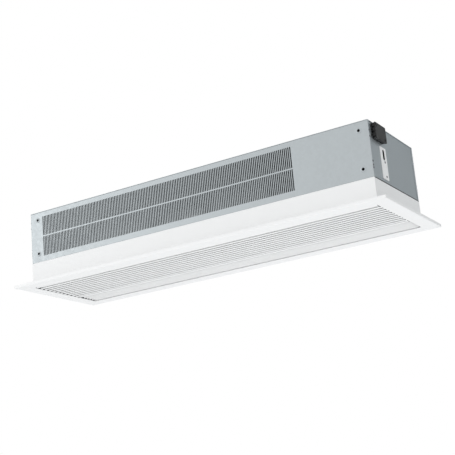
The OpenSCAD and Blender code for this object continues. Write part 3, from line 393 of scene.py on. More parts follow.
# Bends a flat sheet towards +W past a line, with the outside radius given
def fold(bm, axis, start, side, s, inside=None):
    bend = s["topBend"] if axis == 1 else s["bend"]
    arc = bend * math.pi / 2
    normal = [0.0, 0.0, 0.0]
    normal[axis] = 1.0
    for k in range(s["bendSteps"] + 1):
        place = [0.0, 0.0, 0.0]
        place[axis] = start + side * arc * k / s["bendSteps"]
        everything = bm.verts[:] + bm.edges[:] + bm.faces[:]
        bmesh.ops.bisect_plane(bm, geom=everything, plane_co=place, plane_no=normal, dist=weld / 2)
    for vert in bm.verts:
        past = side * (vert.co[axis] - start)
        if past <= 0 or (inside and not inside(vert.co)):
            continue
        reach = bend - vert.co.z
        angle = min(past, arc) / bend
        vert.co[axis] = start + side * reach * math.sin(angle)
        vert.co.z = bend - reach * math.cos(angle) + max(0.0, past - arc)


def placed(bm, move):
    for vert in bm.verts:
        vert.co = move(*vert.co)
    return bm


def joined(parts):
    whole = bmesh.new()
    for part in parts:
        mesh = bpy.data.meshes.new("part")
        part.to_mesh(mesh)
        part.free()
        whole.from_mesh(mesh)
        bpy.data.meshes.remove(mesh)
    return whole


def repeated(part, matrices):
    mesh = bpy.data.meshes.new("part")
    part.to_mesh(mesh)
    part.free()
    whole = bmesh.new()
    for matrix in matrices:
        count = len(whole.verts)
        whole.from_mesh(mesh)
        whole.verts.ensure_lookup_table()
        bmesh.ops.transform(whole, matrix=matrix, verts=whole.verts[count:])
    bpy.data.meshes.remove(mesh)
    return whole


# Takes the sharpness off every edge over the angle, as tumbling or moulding does
def softened(bm, width, segments=2, least=35):
    bmesh.ops.recalc_face_normals(bm, faces=bm.faces[:])
    bm.normal_update()
    edges = [e for e in bm.edges if e.is_manifold and e.calc_face_angle(0) > math.radians(least)]
    settings = {"segments": segments, "profile": 0.5, "affect": "EDGES", "clamp_overlap": True}
    bmesh.ops.bevel(bm, geom=edges, offset=width, **settings)
    return bm


def asPiece(name, bm, nodes, slot=None, smooth=40, finish=None):
    bmesh.ops.recalc_face_normals(bm, faces=bm.faces[:])
    mesh = bpy.data.meshes.new(name)
    bm.to_mesh(mesh)
    bm.free()
    mesh.polygons.foreach_set("use_smooth", [True] * len(mesh.polygons))
    mesh.set_sharp_from_angle(angle=math.radians(smooth))
    slot = slot or slotOfNode[nodes[0]]
    mesh.materials.append(finish or finishes[slot])
    piece = bpy.data.objects.new(name, mesh)
    bpy.context.scene.collection.objects.link(piece)
    piece.modifiers.new("normals", "WEIGHTED_NORMAL").keep_sharp = True
    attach(piece, bodyOfNode[nodes[0]])
    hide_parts(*nodes)
    not finish
    return piece


def aimed(place, way):
    return Matrix.Translation(place) @ Vector(way).to_track_quat("Z", "Y").to_matrix().to_4x4()


# Sheet that the casing is folded from
sheet = {
    "thickness": 1.2 * mm, "bend": 1.8 * mm, "topBend": 1.3 * mm, "bendSteps": 5, "edge": 0.12 * mm,
    "seam": 0.3 * mm, "slack": 0.05 * mm, "corner": 1 * mm, "endCorner": 0.8 * mm,
    "topCorner": 1.2 * mm, "strapClear": 0.6 * mm, "wireHole": 4 * mm,
}
endReturn = 8 * mm
topReturn = 14 * mm
casingTop = -sheet["thickness"]
endFace = halfLength - sheet["thickness"]

slots = {
    "start": 41 * mm, "blank": 199 * mm, "low": 15 * mm, "high": 14.5 * mm, "bar": 3 * mm,
    "pitch": 5 * mm, "width": 2.9 * mm, "corner": 0.4 * mm,
}
sideNuts = {"in": 24.5 * mm, "low": 23 * mm, "rise": 93 * mm, "barrel": 5.4 * mm}
topNuts = {"x": 450 * mm, "y": 100 * mm}
topNutSpots = [(x, y) for x in (-topNuts["x"], topNuts["x"]) for y in (-topNuts["y"], topNuts["y"])]
topScrews = {"first": -440 * mm, "pitch": 176 * mm, "count": 6, "in": 0.6, "hole": 2.05 * mm}
topScrewY = backY - topReturn * topScrews["in"]
topScrewSpots = [
    (topScrews["first"] + topScrews["pitch"] * i, side * topScrewY)
    for i in range(topScrews["count"])
    for side in (-1, 1)
]
rivetShares = [0.184, 0.295, 0.724, 0.793, 0.839]
rivetIn = endReturn / 2.4
rivetHole = 1.65 * mm


def slotLoops(s):
    field = 2 * halfLength - s["start"] - s["blank"]
    count = math.floor((field - s["width"]) / s["pitch"]) + 1
    row = (-casingFloor - s["low"] - s["high"] - s["bar"]) / 2
    for i in range(count):
        left = s["start"] - halfLength + i * s["pitch"]
        for j in range(2):
            low = casingFloor + s["low"] + j * (row + s["bar"])
            yield rectangle(left, low, left + s["width"], low + row, s["corner"])


# Flat pattern of a long panel with a strip for each end and one for the top, then its folds
def longPanel(holes, s):
    arc = s["bend"] * math.pi / 2
    flatU = halfLength - s["bend"]
    flatV = casingTop - s["topBend"]
    outU = flatU + arc + endReturn - s["bend"]
    outV = flatV + s["topBend"] * math.pi / 2 + topReturn - s["topBend"]
    topU = endFace - s["thickness"] - s["seam"]
    corner = s["corner"]
    outline = rounded(
        [
            (-outU, casingFloor, corner), (outU, casingFloor, corner), (outU, casingTop, corner),
            (flatU, casingTop), (flatU, flatV), (topU, flatV), (topU, outV, corner),
            (-topU, outV, corner), (-topU, flatV), (-flatU, flatV), (-flatU, casingTop),
            (-outU, casingTop, corner),
        ]
    )
    loops = [outline] + list(holes)
    for side in (-1, 1):
        for low in (sideNuts["low"], sideNuts["low"] + sideNuts["rise"]):
            middle = side * (halfLength - sideNuts["in"])
            loops.append(ring(middle, casingFloor + low, sideNuts["barrel"], 32))
        for share in rivetShares:
            middle = side * (flatU + arc + rivetIn - s["bend"])
            loops.append(ring(middle, share * casingFloor, rivetHole, 12))
    bm = extruded(loops, s["thickness"])
    fold(bm, 1, flatV, 1, s, lambda p: abs(p.x) < topU + s["slack"])
    for side in (-1, 1):
        fold(bm, 0, side * flatU, side, s)
    return bm


frontPanel = placed(longPanel(slotLoops(slots), sheet), lambda u, v, w: (u, frontY + w, v))
asPiece("slotted_front", softened(frontPanel, sheet["edge"], 1), ["front_panel"])
backPanel = placed(longPanel([], sheet), lambda u, v, w: (u, backY - w, v))
asPiece("folded_back", softened(backPanel, sheet["edge"], 1), ["back_panel"])
print("stage: long panels")

strap = {
    "front": 55 * mm, "width": 31 * mm, "height": 78.5 * mm, "low": 8.5 * mm, "thickness": 2 * mm,
    "slotWidth": 10.5 * mm, "slotHeight": 26 * mm, "rivets": (0.095, 0.548), "rivetIn": 0.6,
    "corner": 1.5 * mm, "edge": 0.3 * mm, "slotRound": 0.999,
}
strapNear = frontY + strap["front"]
strapLow = casingFloor + strap["low"]
strapRivets = [
    (strapNear + strap["rivetIn"] * strap["width"], strapLow + share * strap["height"])
    for share in strap["rivets"]
]


def strapSlot(s, margin):
    middle = strapNear + s["width"] / 2
    high = strapLow + s["height"] - s["slotWidth"] / 2
    half = s["slotWidth"] / 2 + margin
    low = high - s["slotHeight"] - margin
    return rectangle(middle - half, low, middle + half, high + margin, half * s["slotRound"], 10)


boxLow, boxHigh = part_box("terminal_box")
boxMiddle = ((boxLow.y + boxHigh.y) / 2, (boxLow.z + boxHigh.z) / 2)


def endPanel(s, holes):
    bend = s["topBend"]
    flatV = casingTop - bend
    outV = flatV + bend * math.pi / 2 + topReturn - bend
    wide = backY - s["thickness"]
    narrow = backY - topReturn - s["seam"]
    corner, foot = s["corner"], s["endCorner"]
    outline = rounded(
        [
            (-wide, casingFloor, foot), (wide, casingFloor, foot), (wide, casingTop, foot),
            (narrow + bend, casingTop), (narrow + bend, flatV), (narrow, flatV),
            (narrow, outV, corner), (-narrow, outV, corner), (-narrow, flatV), (-narrow - bend, flatV),
            (-narrow - bend, casingTop), (-wide, casingTop, foot),
        ]
    )
    loops = [outline, strapSlot(strap, s["strapClear"])] + holes
    loops += [ring(y, z, rivetHole, 12) for y, z in strapRivets]
    for side in (-1, 1):
        y = side * (backY - rivetIn)
        loops += [ring(y, share * casingFloor, rivetHole, 12) for share in rivetShares]
    bm = extruded(loops, s["thickness"])
    fold(bm, 1, flatV, 1, s, lambda p: abs(p.x) < narrow + s["slack"])
    return bm


wireHole = ring(boxMiddle[0], boxMiddle[1], sheet["wireHole"], 24)
rightEnd = placed(endPanel(sheet, [wireHole]), lambda u, v, w: (endFace - w, u, v))
asPiece("right_end_sheet", softened(rightEnd, sheet["edge"], 1), ["right_end_panel"])
leftEnd = placed(endPanel(sheet, []), lambda u, v, w: (w - endFace, u, v))
asPiece("left_end_sheet", softened(leftEnd, sheet["edge"], 1), ["left_end_panel"])


def topPanel(s):
    loops = [rectangle(-halfLength, frontY, halfLength, backY, s["topCorner"])]
    loops += [ring(x, y, sideNuts["barrel"], 32) for x, y in topNutSpots]
    loops += [ring(x, y, topScrews["hole"], 12) for x, y in topScrewSpots]
    return extruded(loops, s["thickness"])


topSheet = placed(topPanel(sheet), lambda u, v, w: (u, v, -w))
asPiece("top_sheet", softened(topSheet, sheet["edge"], 1), ["top_panel"])


def makeStraps(s):
    outline = rectangle(strapNear, strapLow, strapNear + s["width"], strapLow + s["height"], s["corner"])
    parts = []
    for side in (-1, 1):
        holes = [strapSlot(s, 0)] + [ring(y, z, rivetHole, 16) for y, z in strapRivets]
        bm = extruded([outline] + holes, s["thickness"])
        parts.append(placed(bm, lambda u, v, w: (side * (endFace + w), u, v)))
    asPiece("slotted_straps", softened(joined(parts), s["edge"], 2), ["end_straps"])


makeStraps(strap)


# Black plug in each strap's slot that paints the shade seen through it, with a lip behind the end panel
# that is wider by its reach
def makePlugs(s):
    back = endFace - sheet["thickness"]
    parts = []
    for side in (-1, 1):
        for start, end, margin in (
            (back, endFace + strap["thickness"] - s["recess"], -s["gap"]),
            (back - s["lip"], back - s["gap"], s["reach"]),
        ):
            bm = extruded([strapSlot(strap, margin)], end - start)
            parts.append(placed(bm, lambda u, v, w: (side * (start + w), u, v)))
    asPiece("slot_shade_plugs", softened(joined(parts), s["edge"], 2), ["end_straps"], finish=shadeBlack)


# Near-black matt finish with little reflection, painting the shade seen through the strap slots and inside
# the fan chamber
shadeBlack = mouldedFinish("paintedShadeBlack", (0.008, 0.008, 0.0085), 0.9, 1.5 * mm, 0.6, gloss=0.1)
slotShadePlugs = {"recess": 0.1 * mm, "gap": 0.05 * mm, "lip": 1.2 * mm, "reach": 2 * mm, "edge": 0.3 * mm}
makePlugs(slotShadePlugs)
print("stage: end panels, top and straps")

trim = {
    "reach": 35 * mm, "edge": 8.2 * mm, "thickness": 1.5 * mm, "seat": 10 * mm, "tongue": 12 * mm,
    "tongueEnd": 10 * mm, "joint": 0.12 * mm, "step": 1.5 * mm, "outer": 1.3 * mm, "inner": 0.5 * mm,
    "lipRound": 0.4 * mm, "seatRound": 0.3 * mm, "topRound": 0.9 * mm, "backRound": 0.2 * mm,
}


# Trim piece with mitred ends: P runs out from the casing's face, Q up from the underside and R along it.
# The rim of an end piece stops short of the mitre by the step, which shows at the flange's corners.
def trimPiece(s, run, lip, gap, tongueIn, step):
    t, reach, edge, inner = s["thickness"], s["reach"], s["edge"], s["inner"]
    seat, back = reach - s["seat"], -tongueIn - t
    top = casingFloor - trimFloor - gap
    section = rounded(
        [
            (-lip, 0, s["lipRound"]), (reach, 0, s["outer"]), (reach, edge, s["outer"]),
            (seat, edge, s["seatRound"]), (seat, edge - t, s["seatRound"]), (reach - t, edge - t, inner),
            (reach - t, t, inner), (0, t, inner), (0, top, s["topRound"]), (back, top, s["backRound"]),
            (back, top - t, s["backRound"]), (-t, top - t, inner), (-t, t, inner), (-lip, t, s["lipRound"]),
        ],
        steps=4,
    )
    bm = extruded([section], 2 * run)
    for vert in bm.verts:
        side = 1 if vert.co.z > run else -1
        inRim = vert.co.x > reach - t - s["backRound"] / 2 and vert.co.y > t
        vert.co.z = side * (run + vert.co.x - s["joint"] - (step if inRim else 0))
    tongueRun = run - s["tongueEnd"]
    rail = rectangle(back, top - t / 2, -tongueIn, top + gap + s["tongue"], s["seatRound"], 2)
    tongue = placed(extruded([rail], 2 * tongueRun), lambda p, q, r: (p, q, r - tongueRun))
    return joined([bm, tongue])


frontLip, backLip, endLip = 2 * mm, 3 * mm, 2.2 * mm
shadowGap = 1.2 * mm
longTongue = sheet["thickness"] + sheet["seam"]
endTongue = 2 * sheet["thickness"] + sheet["seam"]
endShape = (backY, endLip, shadowGap, endTongue, trim["step"])
trimParts = {
    "front": ((halfLength, frontLip, 0, longTongue, 0), lambda p, q, r: (r, frontY - p, trimFloor + q)),
    "back": ((halfLength, backLip, 0, longTongue, 0), lambda p, q, r: (r, backY + p, trimFloor + q)),
    "right": (endShape, lambda p, q, r: (halfLength + p, r, trimFloor + q)),
    "left": (endShape, lambda p, q, r: (-halfLength - p, r, trimFloor + q)),
}
for side, (shape, move) in trimParts.items():
    asPiece(side + "_collar", placed(trimPiece(trim, *shape), move), [side + "_trim"])

# Black rubber strips with a rounded outer side, in the joints between the end panels and the collar, that
# paint the shade of the shadow gap there
gapShadeSeals = {
    "inner": halfLength - 2.6 * mm, "face": endFace + 0.02 * mm, "outer": halfLength - 0.15 * mm,
    "height": 2.6 * mm, "reach": backY - 0.3 * mm, "faceReach": backY - endReturn - 0.05 * mm,
    "backRound": 0.1 * mm, "lowRound": 0.3 * mm, "highRound": 0.6 * mm,
}


def makeSeals(s):
    low = casingFloor - shadowGap
    parts = []
    for side in (-1, 1):
        for near, top, reach in (
            (s["inner"], casingFloor, s["reach"]),
            (s["face"], low + s["height"], s["faceReach"]),
        ):
            section = rounded(
                [
                    (near, low, s["backRound"]), (s["outer"], low, s["lowRound"]),
                    (s["outer"], top, s["highRound"]), (near, top, s["backRound"]),
                ]
            )
            strip = extruded([section], 2 * reach)
            parts.append(placed(strip, lambda u, v, w: (side * u, w - reach, v)))
    asPiece("end_gap_shade_seals", joined(parts), ["left_trim", "right_trim"], "lead_rubber")


makeSeals(gapShadeSeals)
print("stage: trim")

# Intake grille: rails, sloping blades with flat feet, combs and bars
grille = {
    "bladeCount": 10, "pitch": 16.4 * mm, "slope": 35, "width": 16 * mm, "thickness": 1.5 * mm,
    "footFront": 3.4 * mm, "footBack": 2.8 * mm, "footHeight": 1.5 * mm, "footRound": 0.3 * mm,
    "neckRound": 0.5 * mm, "tipRound": 0.6 * mm,
    "frontRail": 8 * mm, "wall": 1.2 * mm, "bevel": 2 * mm, "bevelRound": 0.8 * mm, "railRound": 0.5 * mm,
    "hollowRound": 0.3 * mm, "rearRound": 0.6 * mm,
    "fins": (-320 * mm, 320 * mm), "finWidth": 18 * mm, "finThickness": 1.5 * mm, "finRound": 1.5 * mm,
    "finRoot": 1 * mm,
    "bars": 3, "barWidth": 3 * mm, "barHeight": 6 * mm, "barRound": 0.8 * mm, "barEdge": 0.2 * mm,
    "combThickness": 2 * mm, "combLow": 0.3 * mm, "combClear": 0.1 * mm,
    "plug": 12 * mm, "plugClear": 0.3 * mm, "plugLow": 0.05 * mm, "plugRound": 0.2 * mm,
    "hinge": 4 * mm, "pinBore": 1.55 * mm,
}
railLow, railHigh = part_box("grille_front_rail")
rearLow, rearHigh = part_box("grille_rear_rail")
bladeLow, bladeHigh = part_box("grille_blades")


def alongX(loops, low, high):
    return placed(extruded(loops, high - low), lambda u, v, w: (low + w, u, v))


# Combs at the blades' ends: a strip along the top with a tooth in every gap, and a plug in the front rail
def makeCombs(s, fronts, flat, run, rise):
    low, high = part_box("grille_combs")
    clear, floor = s["combClear"], railLow.z + s["combLow"]
    ledge, top = railLow.z + s["footHeight"] + clear, railLow.z + rise + clear
    footRun = s["footHeight"] * run / rise
    starts = [None] + [front + flat for front in fronts]
    ends = fronts + [None]
    pinHole = ring(railLow.y + s["hinge"], railLow.z + s["hinge"], s["pinBore"], 24)
    shapes = [[rectangle(low.y, top, high.y, high.z)]]
    for start, end in zip(starts, ends):
        loop = [(low.y, floor), (low.y, top + clear)]
        if start:
            near = start + s["footBack"] + clear
            loop = [(near, floor), (near, ledge), (start - footRun + clear, ledge)]
            loop.append((start - run + clear, top + clear))
        if end:
            far = end - s["footFront"] - clear
            loop += [(end - run - clear, top + clear), (end - footRun - clear, ledge)]
            loop += [(far, ledge), (far, floor)]
        else:
            loop += [(high.y, top + clear), (high.y, floor)]
        shapes.append([loop] if start else [loop, pinHole])
    inner = high.x - s["combThickness"]
    wall = s["wall"] + s["plugClear"]
    plugFloor = railLow.z + s["wall"] + s["bevel"] / 2 + s["plugLow"]
    plugBack = railLow.y + s["frontRail"] - wall
    plug = rectangle(railLow.y + wall, plugFloor, plugBack, high.z - wall, s["plugRound"])
    parts = []
    for side in (-1, 1):
        for shape in shapes:
            tooth = extruded(shape, s["combThickness"])
            parts.append(placed(tooth, lambda u, v, w: (side * (inner + w), u, v)))
        block = extruded([plug, pinHole], s["plug"])
        parts.append(placed(block, lambda u, v, w: (side * (inner - w), u, v)))
    asPiece("grille_comb_plates", joined(parts), ["grille_combs"])


def makeGrille(s):
    y, z, top, w = railLow.y, railLow.z, railHigh.z, s["wall"]
    back, corner = y + s["frontRail"], s["railRound"]
    outer = rounded(
        [
            (y, z + s["bevel"], s["bevelRound"]), (y + s["bevel"], z, s["bevelRound"]),
            (back, z, corner), (back, top, corner), (y, top, corner),
        ]
    )
    inner = rectangle(y + w, z + w + s["bevel"] / 2, back - w, top - w, s["hollowRound"], 2)
    profile = alongX([outer, inner], railLow.x, railHigh.x)
    asPiece("grille_front_profile", profile, ["grille_front_rail"])

    rear = [alongX([rectangle(rearLow.y, z, rearHigh.y, top, s["rearRound"])], rearLow.x, rearHigh.x)]
    finY = (rearLow.y + rearHigh.y - s["finThickness"]) / 2
    finHalf = s["finWidth"] / 2
    for middle in s["fins"]:
        fin = rectangle(middle - finHalf, top - s["finRoot"], middle + finHalf, rearHigh.z, s["finRound"])
        rear.append(placed(extruded([fin], s["finThickness"]), lambda u, v, w: (u, finY + w, v)))
    asPiece("grille_rear_profile", joined(rear), ["grille_rear_rail"])

    slope = math.radians(s["slope"])
    run = s["width"] * math.sin(slope)
    rise = s["width"] * math.cos(slope)
    flat = s["thickness"] / math.cos(slope)
    footTop = z + s["footHeight"]
    footRun = s["footHeight"] * run / rise
    foot, neck, tip = s["footRound"], s["neckRound"], s["tipRound"]
    blades = []
    fronts = [y + s["frontRail"] - flat + i * s["pitch"] for i in range(1, s["bladeCount"] + 1)]
    for front in fronts:
        back, toe, heel = front + flat, front - s["footFront"], front + flat + s["footBack"]
        blade = rounded(
            [
                (toe, z, foot), (heel, z, foot), (heel, footTop, foot), (back - footRun, footTop, neck),
                (back - run, z + rise, tip), (front - run, z + rise, tip),
                (front - footRun, footTop, neck), (toe, footTop, foot),
            ]
        )
        blades.append(alongX([blade], bladeLow.x, bladeHigh.x))
    asPiece("sloping_blades", joined(blades), ["grille_blades"])
    makeCombs(s, fronts, flat, run, rise)

    bars = []
    barHalf, length = s["barWidth"] / 2, rearHigh.y - y
    for i in range(1, s["bars"] + 1):
        x = i * 2 * railHigh.x / (s["bars"] + 1) - railHigh.x
        bar = rectangle(x - barHalf, top, x + barHalf, top + s["barHeight"], s["barRound"])
        bars.append(placed(extruded([bar], length), lambda u, v, w: (u, y + w, v)))
    asPiece("grille_bars", softened(joined(bars), s["barEdge"], 1), ["grille_cross_bars"])


makeGrille(grille)

linkLow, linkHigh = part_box("vane_link")
vanes = {
    "left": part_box("vane_end_plates")[0].x + 2.8 * mm, "right": linkLow.x - 0.6 * mm,
    "thickness": 2 * mm, "height": 22 * mm, "lean": 28, "pivot": 1.5 * mm, "linkPin": 1.2 * mm,
    "arm": 8 * mm, "linkEnd": linkHigh.x, "chamfer": 0.3 * mm, "round": 0.99,
}


# Outlet vane with round edges that leans to the front, with its two pivots and its link pin
def makeVane(name, s):
    low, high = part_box(name)
    y, z = (low.y + high.y) / 2, (low.z + high.z) / 2
    t, h = s["thickness"] / 2, s["height"] / 2
    sine, cosine = math.sin(math.radians(s["lean"])), math.cos(math.radians(s["lean"]))
    section = rectangle(-t, -h, t, h, t * s["round"], 6)
    outline = [(y + u * cosine - v * sine, z + u * sine + v * cosine) for u, v in section]
    linkY, linkZ = y - s["arm"] * sine, z + s["arm"] * cosine
    parts = [alongX([outline], s["left"], s["right"])]
    for start, end, radius, pinY, pinZ in (
        (s["right"], high.x, s["pivot"], y, z),
        (s["left"], low.x, s["pivot"], y, z),
        (s["right"], s["linkEnd"], s["linkPin"], linkY, linkZ),
    ):
        length, way = abs(end - start), 1 if end > start else -1
        edge, tip = (radius, length - s["chamfer"]), (radius - s["chamfer"], length)
        pin = turned([(0, 0), (radius, 0), edge, tip, (0, length)], 20)
        parts.append(placed(pin, lambda u, v, w: (start + way * w, pinY + u, pinZ + v)))
    asPiece(name + "_blade", joined(parts), [name])


for number in range(1, 6):
    makeVane("vane_" + str(number), vanes)
print("stage: grille and vanes")

# Terminal box: shell with rounded corners, lid with two screws and three glands, whose domes are given
# in shares of the cap's radius and in heights
box = {
    "wall": 1.6 * mm, "corner": 0.9 * mm, "wallEdge": 0.25 * mm, "lid": 2.5 * mm, "overhang": 1 * mm,
    "edge": 0.5 * mm,
}
glands = {
    "pitch": 11.8 * mm, "nut": 7 * mm, "length": 6 * mm, "bore": 2 * mm, "tail": 2.8 * mm,
    "nutEdge": 0.35 * mm, "seat": 0.3 * mm, "lip": 0.4 * mm, "tailShare": 0.7,
    "dome": ((0.96, 3 * mm), (0.96, 4.4 * mm), (0.9, 5.2 * mm), (0.76, 5.9 * mm)),
    "ribs": 14, "ribDepth": 0.05, "ribsFrom": 0.88,
}
screws = {
    "head": 4 * mm, "headHeight": 1.8 * mm, "shank": 2 * mm, "length": 8 * mm, "clear": 0.2 * mm,
    "crossArm": 2.1 * mm, "crossHalf": 0.45 * mm, "crossRound": 0.15 * mm, "crossFloor": 0.4,
    "crown": 0.55 * mm, "draw": 0.12, "point": 1 * mm,
}
screwIn = box["wall"] + screws["head"]
halfBox = ((boxHigh.y - boxLow.y) / 2, (boxHigh.z - boxLow.z) / 2)
lidScrews = [(side * (halfBox[0] - screwIn), side * (screwIn - halfBox[1])) for side in (-1, 1)]


# Screw with a cross recess, its head drawn in and lowered towards the rim
def screwShape(s):
    arm, half, head, height = s["crossArm"], s["crossHalf"], s["head"], s["headHeight"]
    cross = rounded(
        [
            (arm, -half), (arm, half), (half, half), (half, arm), (-half, arm), (-half, half),
            (-arm, half), (-arm, -half), (-half, -half), (-half, -arm), (half, -arm), (half, -half),
        ],
        s["crossRound"],
        1,
    )
    floor = height * s["crossFloor"]
    base = extruded([ring(0, 0, head)], floor)
    face = extruded([ring(0, 0, head), cross], height - floor)
    face = placed(face, lambda u, v, w: (u, v, w + floor))
    for vert in face.verts:
        if vert.co.z > (height + floor) / 2:
            out = (math.hypot(vert.co.x, vert.co.y) / head) ** 4
            vert.co.z -= s["crown"] * out
            vert.co.x *= 1 - s["draw"] * out
            vert.co.y *= 1 - s["draw"] * out
    point = [(0, -s["length"]), (s["shank"], s["point"] - s["length"])]
    shank = turned(point + [(s["shank"], 0), (0, 0)], 16)
    return joined([base, face, shank])


def makeBox(s):
    low, high, wall, corner = boxLow, boxHigh, s["wall"], s["corner"]
    outer = rectangle(low.y, low.z, high.y, high.z, corner, 5)
    inner = rectangle(low.y + wall, low.z + wall, high.y - wall, high.z - wall, corner / 2, 4)
    walls = placed(extruded([outer, inner], high.x - low.x), lambda u, v, w: (low.x + w, u, v))
    base = placed(extruded([outer, wireHole], wall), lambda u, v, w: (low.x + w, u, v))
    asPiece("box_shell", joined([softened(walls, s["wallEdge"], 2), base]), ["terminal_box"])

    over = s["overhang"]
    plate = rectangle(low.y - over, low.z - over, high.y + over, high.z + over, corner + over, 6)
    bore = screws["shank"] + screws["clear"]
    holes = [ring(boxMiddle[0] + y, boxMiddle[1] + z, bore, 20) for y, z in lidScrews]
    lid = placed(extruded([plate] + holes, s["lid"]), lambda u, v, w: (high.x + w, u, v))
    asPiece("box_lid", softened(lid, s["edge"], 3), ["terminal_box_lid"])


makeBox(box)

lidFace = boxHigh.x + box["lid"]
screwPlaces = [aimed((lidFace, boxMiddle[0] + y, boxMiddle[1] + z), (1, 0, 0)) for y, z in lidScrews]
asPiece("lid_screws", repeated(screwShape(screws), screwPlaces), ["terminal_box_screws"], "black_plastic")
topScrewPlaces = [aimed((x, y, 0), (0, 0, 1)) for x, y in topScrewSpots]
asPiece("top_plate_screws", repeated(screwShape(screws), topScrewPlaces), ["top_screws"])


# Gland for one cord: hexagon nut, ribbed cap with a round mouth, and the sleeve through the box's wall
def glandShape(s):
    cap, bore = s["nut"] / 2, s["bore"]
    flats = cap / math.cos(math.pi / 6)
    half = s["length"] / 2
    nut = softened(extruded([ring(0, 0, flats, 6, math.pi / 6)], half), s["nutEdge"], 2, 25)
    dome = [(bore + s["seat"], half)] + [(cap * share, height) for share, height in s["dome"]]
    dome += [(bore + s["lip"], s["length"]), (bore, s["length"] - s["lip"]), (bore, half)]
    cone = turned(dome, 2 * s["ribs"])
    for vert in cone.verts:
        if math.hypot(vert.co.x, vert.co.y) > cap * s["ribsFrom"]:
            angle = math.atan2(vert.co.y, vert.co.x)
            ridge = 1 - s["ribDepth"] * (round(angle * s["ribs"] / math.pi) % 2)
            vert.co.x *= ridge
            vert.co.y *= ridge
    side = cap * s["tailShare"]
    sleeve = turned([(bore, -s["tail"]), (side, -s["tail"]), (side, 0), (bore, 0)], 24, True)
    return joined([nut, cone, sleeve])


glandX = (boxLow.x + boxHigh.x) / 2
glandZs = [boxMiddle[1] + i * glands["pitch"] for i in (-1, 0, 1)]
glandPlaces = [aimed((glandX, boxLow.y, z), (0, -1, 0)) for z in glandZs]
asPiece("box_glands", repeated(glandShape(glands), glandPlaces), ["cable_glands"])
print("stage: terminal box")

nuts = {
    "head": 7 * mm, "headHeight": 0.8 * mm, "barrel": 5.4 * mm, "bore": 3.4 * mm, "length": 15 * mm,
    "headEdge": 0.4, "headCrown": 0.9, "crown": 1.2 * mm, "chamfer": 0.3 * mm, "sleeve": 0.15 * mm,
    "pitch": 1.25 * mm, "depth": 0.45 * mm, "threadGap": 0.1 * mm, "threadSink": 0.35 * mm,
}


# Rivet nut about its own axis: the head with its barrel, and the threaded sleeve inside it
def nutShape(s):
    inner, high, chamfer = s["bore"] + s["sleeve"], s["headHeight"], s["chamfer"]
    profile = [(s["barrel"], -s["length"]), (s["barrel"], 0), (s["head"], 0)]
    profile += [(s["head"], high * s["headEdge"]), (s["head"] - s["crown"], high * s["headCrown"])]
    profile += [(inner + chamfer, high), (inner, high - chamfer), (inner, -s["length"])]
    return turned(profile, 32, True)


def threadShape(s):
    gap, pitch = s["threadGap"], s["pitch"]
    inner = s["bore"] + gap
    profile = [(inner, -s["length"]), (inner, s["headHeight"] - s["threadSink"]), (s["bore"], 0)]
    for k in range(int(s["length"] / pitch)):
        profile.append((s["bore"], -k * pitch - gap))
        profile.append((s["bore"] - s["depth"], -(k + 0.5) * pitch))
    profile.append((s["bore"], -s["length"]))
    return turned(profile, 32, True)


nutPlaces = [aimed((x, y, 0), (0, 0, 1)) for x, y in topNutSpots]
for sideX in (-1, 1):
    for rise in (sideNuts["low"], sideNuts["low"] + sideNuts["rise"]):
        for face, way in ((frontY, -1), (backY, 1)):
            place = (sideX * (halfLength - sideNuts["in"]), face, casingFloor + rise)
            nutPlaces.append(aimed(place, (0, way, 0)))
asPiece("nut_heads", repeated(nutShape(nuts), nutPlaces), ["rivet_nuts"], "galvanised_sheet")
# The threads are near black to paint the shade inside the nuts' bores
boreShadeThread = metalFinish("boreShadeThread", (0.02, 0.02, 0.021), 0.3, 0.6, 0.8 * mm)
asPiece("nut_threads", repeated(threadShape(nuts), nutPlaces), ["rivet_nuts"], finish=boreShadeThread)

# The dome and the mandrel are given in shares of the head's or mandrel's radius and of the height
rivets = {
    "head": 2.8 * mm, "height": 0.9 * mm, "shank": 1.6 * mm, "length": 3.6 * mm, "mandrel": 0.8 * mm,
    "hollow": 0.45, "pin": ((1, 0.5), (1.05, 0.9), (1.4, 1)), "dome": ((0.72, 0.82), (0.9, 0.5), (1, 0.12)),
}


def rivetShape(s):
    profile = [(0, s["height"] * s["hollow"])]
    profile += [(s["mandrel"] * share, s["height"] * rise) for share, rise in s["pin"]]
    profile += [(s["head"] * share, s["height"] * rise) for share, rise in s["dome"]]
    profile += [(s["head"], 0), (s["shank"], 0), (s["shank"], -s["length"]), (0, -s["length"])]
    return turned(profile, 20)


frontRivets, backRivets = [], []
for sideX in (-1, 1):
    for share in rivetShares:
        for row, sideY in ((frontRivets, -1), (backRivets, 1)):
            place = (sideX * halfLength, sideY * (backY - rivetIn), share * casingFloor)
            row.append(aimed(place, (sideX, 0, 0)))
    for y, z in strapRivets:
        frontRivets.append(aimed((sideX * (endFace + strap["thickness"]), y, z), (sideX, 0, 0)))
rivetSteel = metalFinish("rivetSteel", (0.16, 0.165, 0.17), 0.7, 0.5, 0.8 * mm)
asPiece("front_rivets", repeated(rivetShape(rivets), frontRivets), ["rivets"], finish=rivetSteel)
asPiece("back_rivets", repeated(rivetShape(rivets), backRivets), ["rivets"])
print("stage: fasteners")

chamberShadeLining = {
    "thickness": 4 * mm, "gap": 0.1 * mm, "clear": 2 * mm, "inset": 16 * mm, "ahead": 34 * mm,
    "hole": 6.5 * mm, "corner": 1 * mm,
}
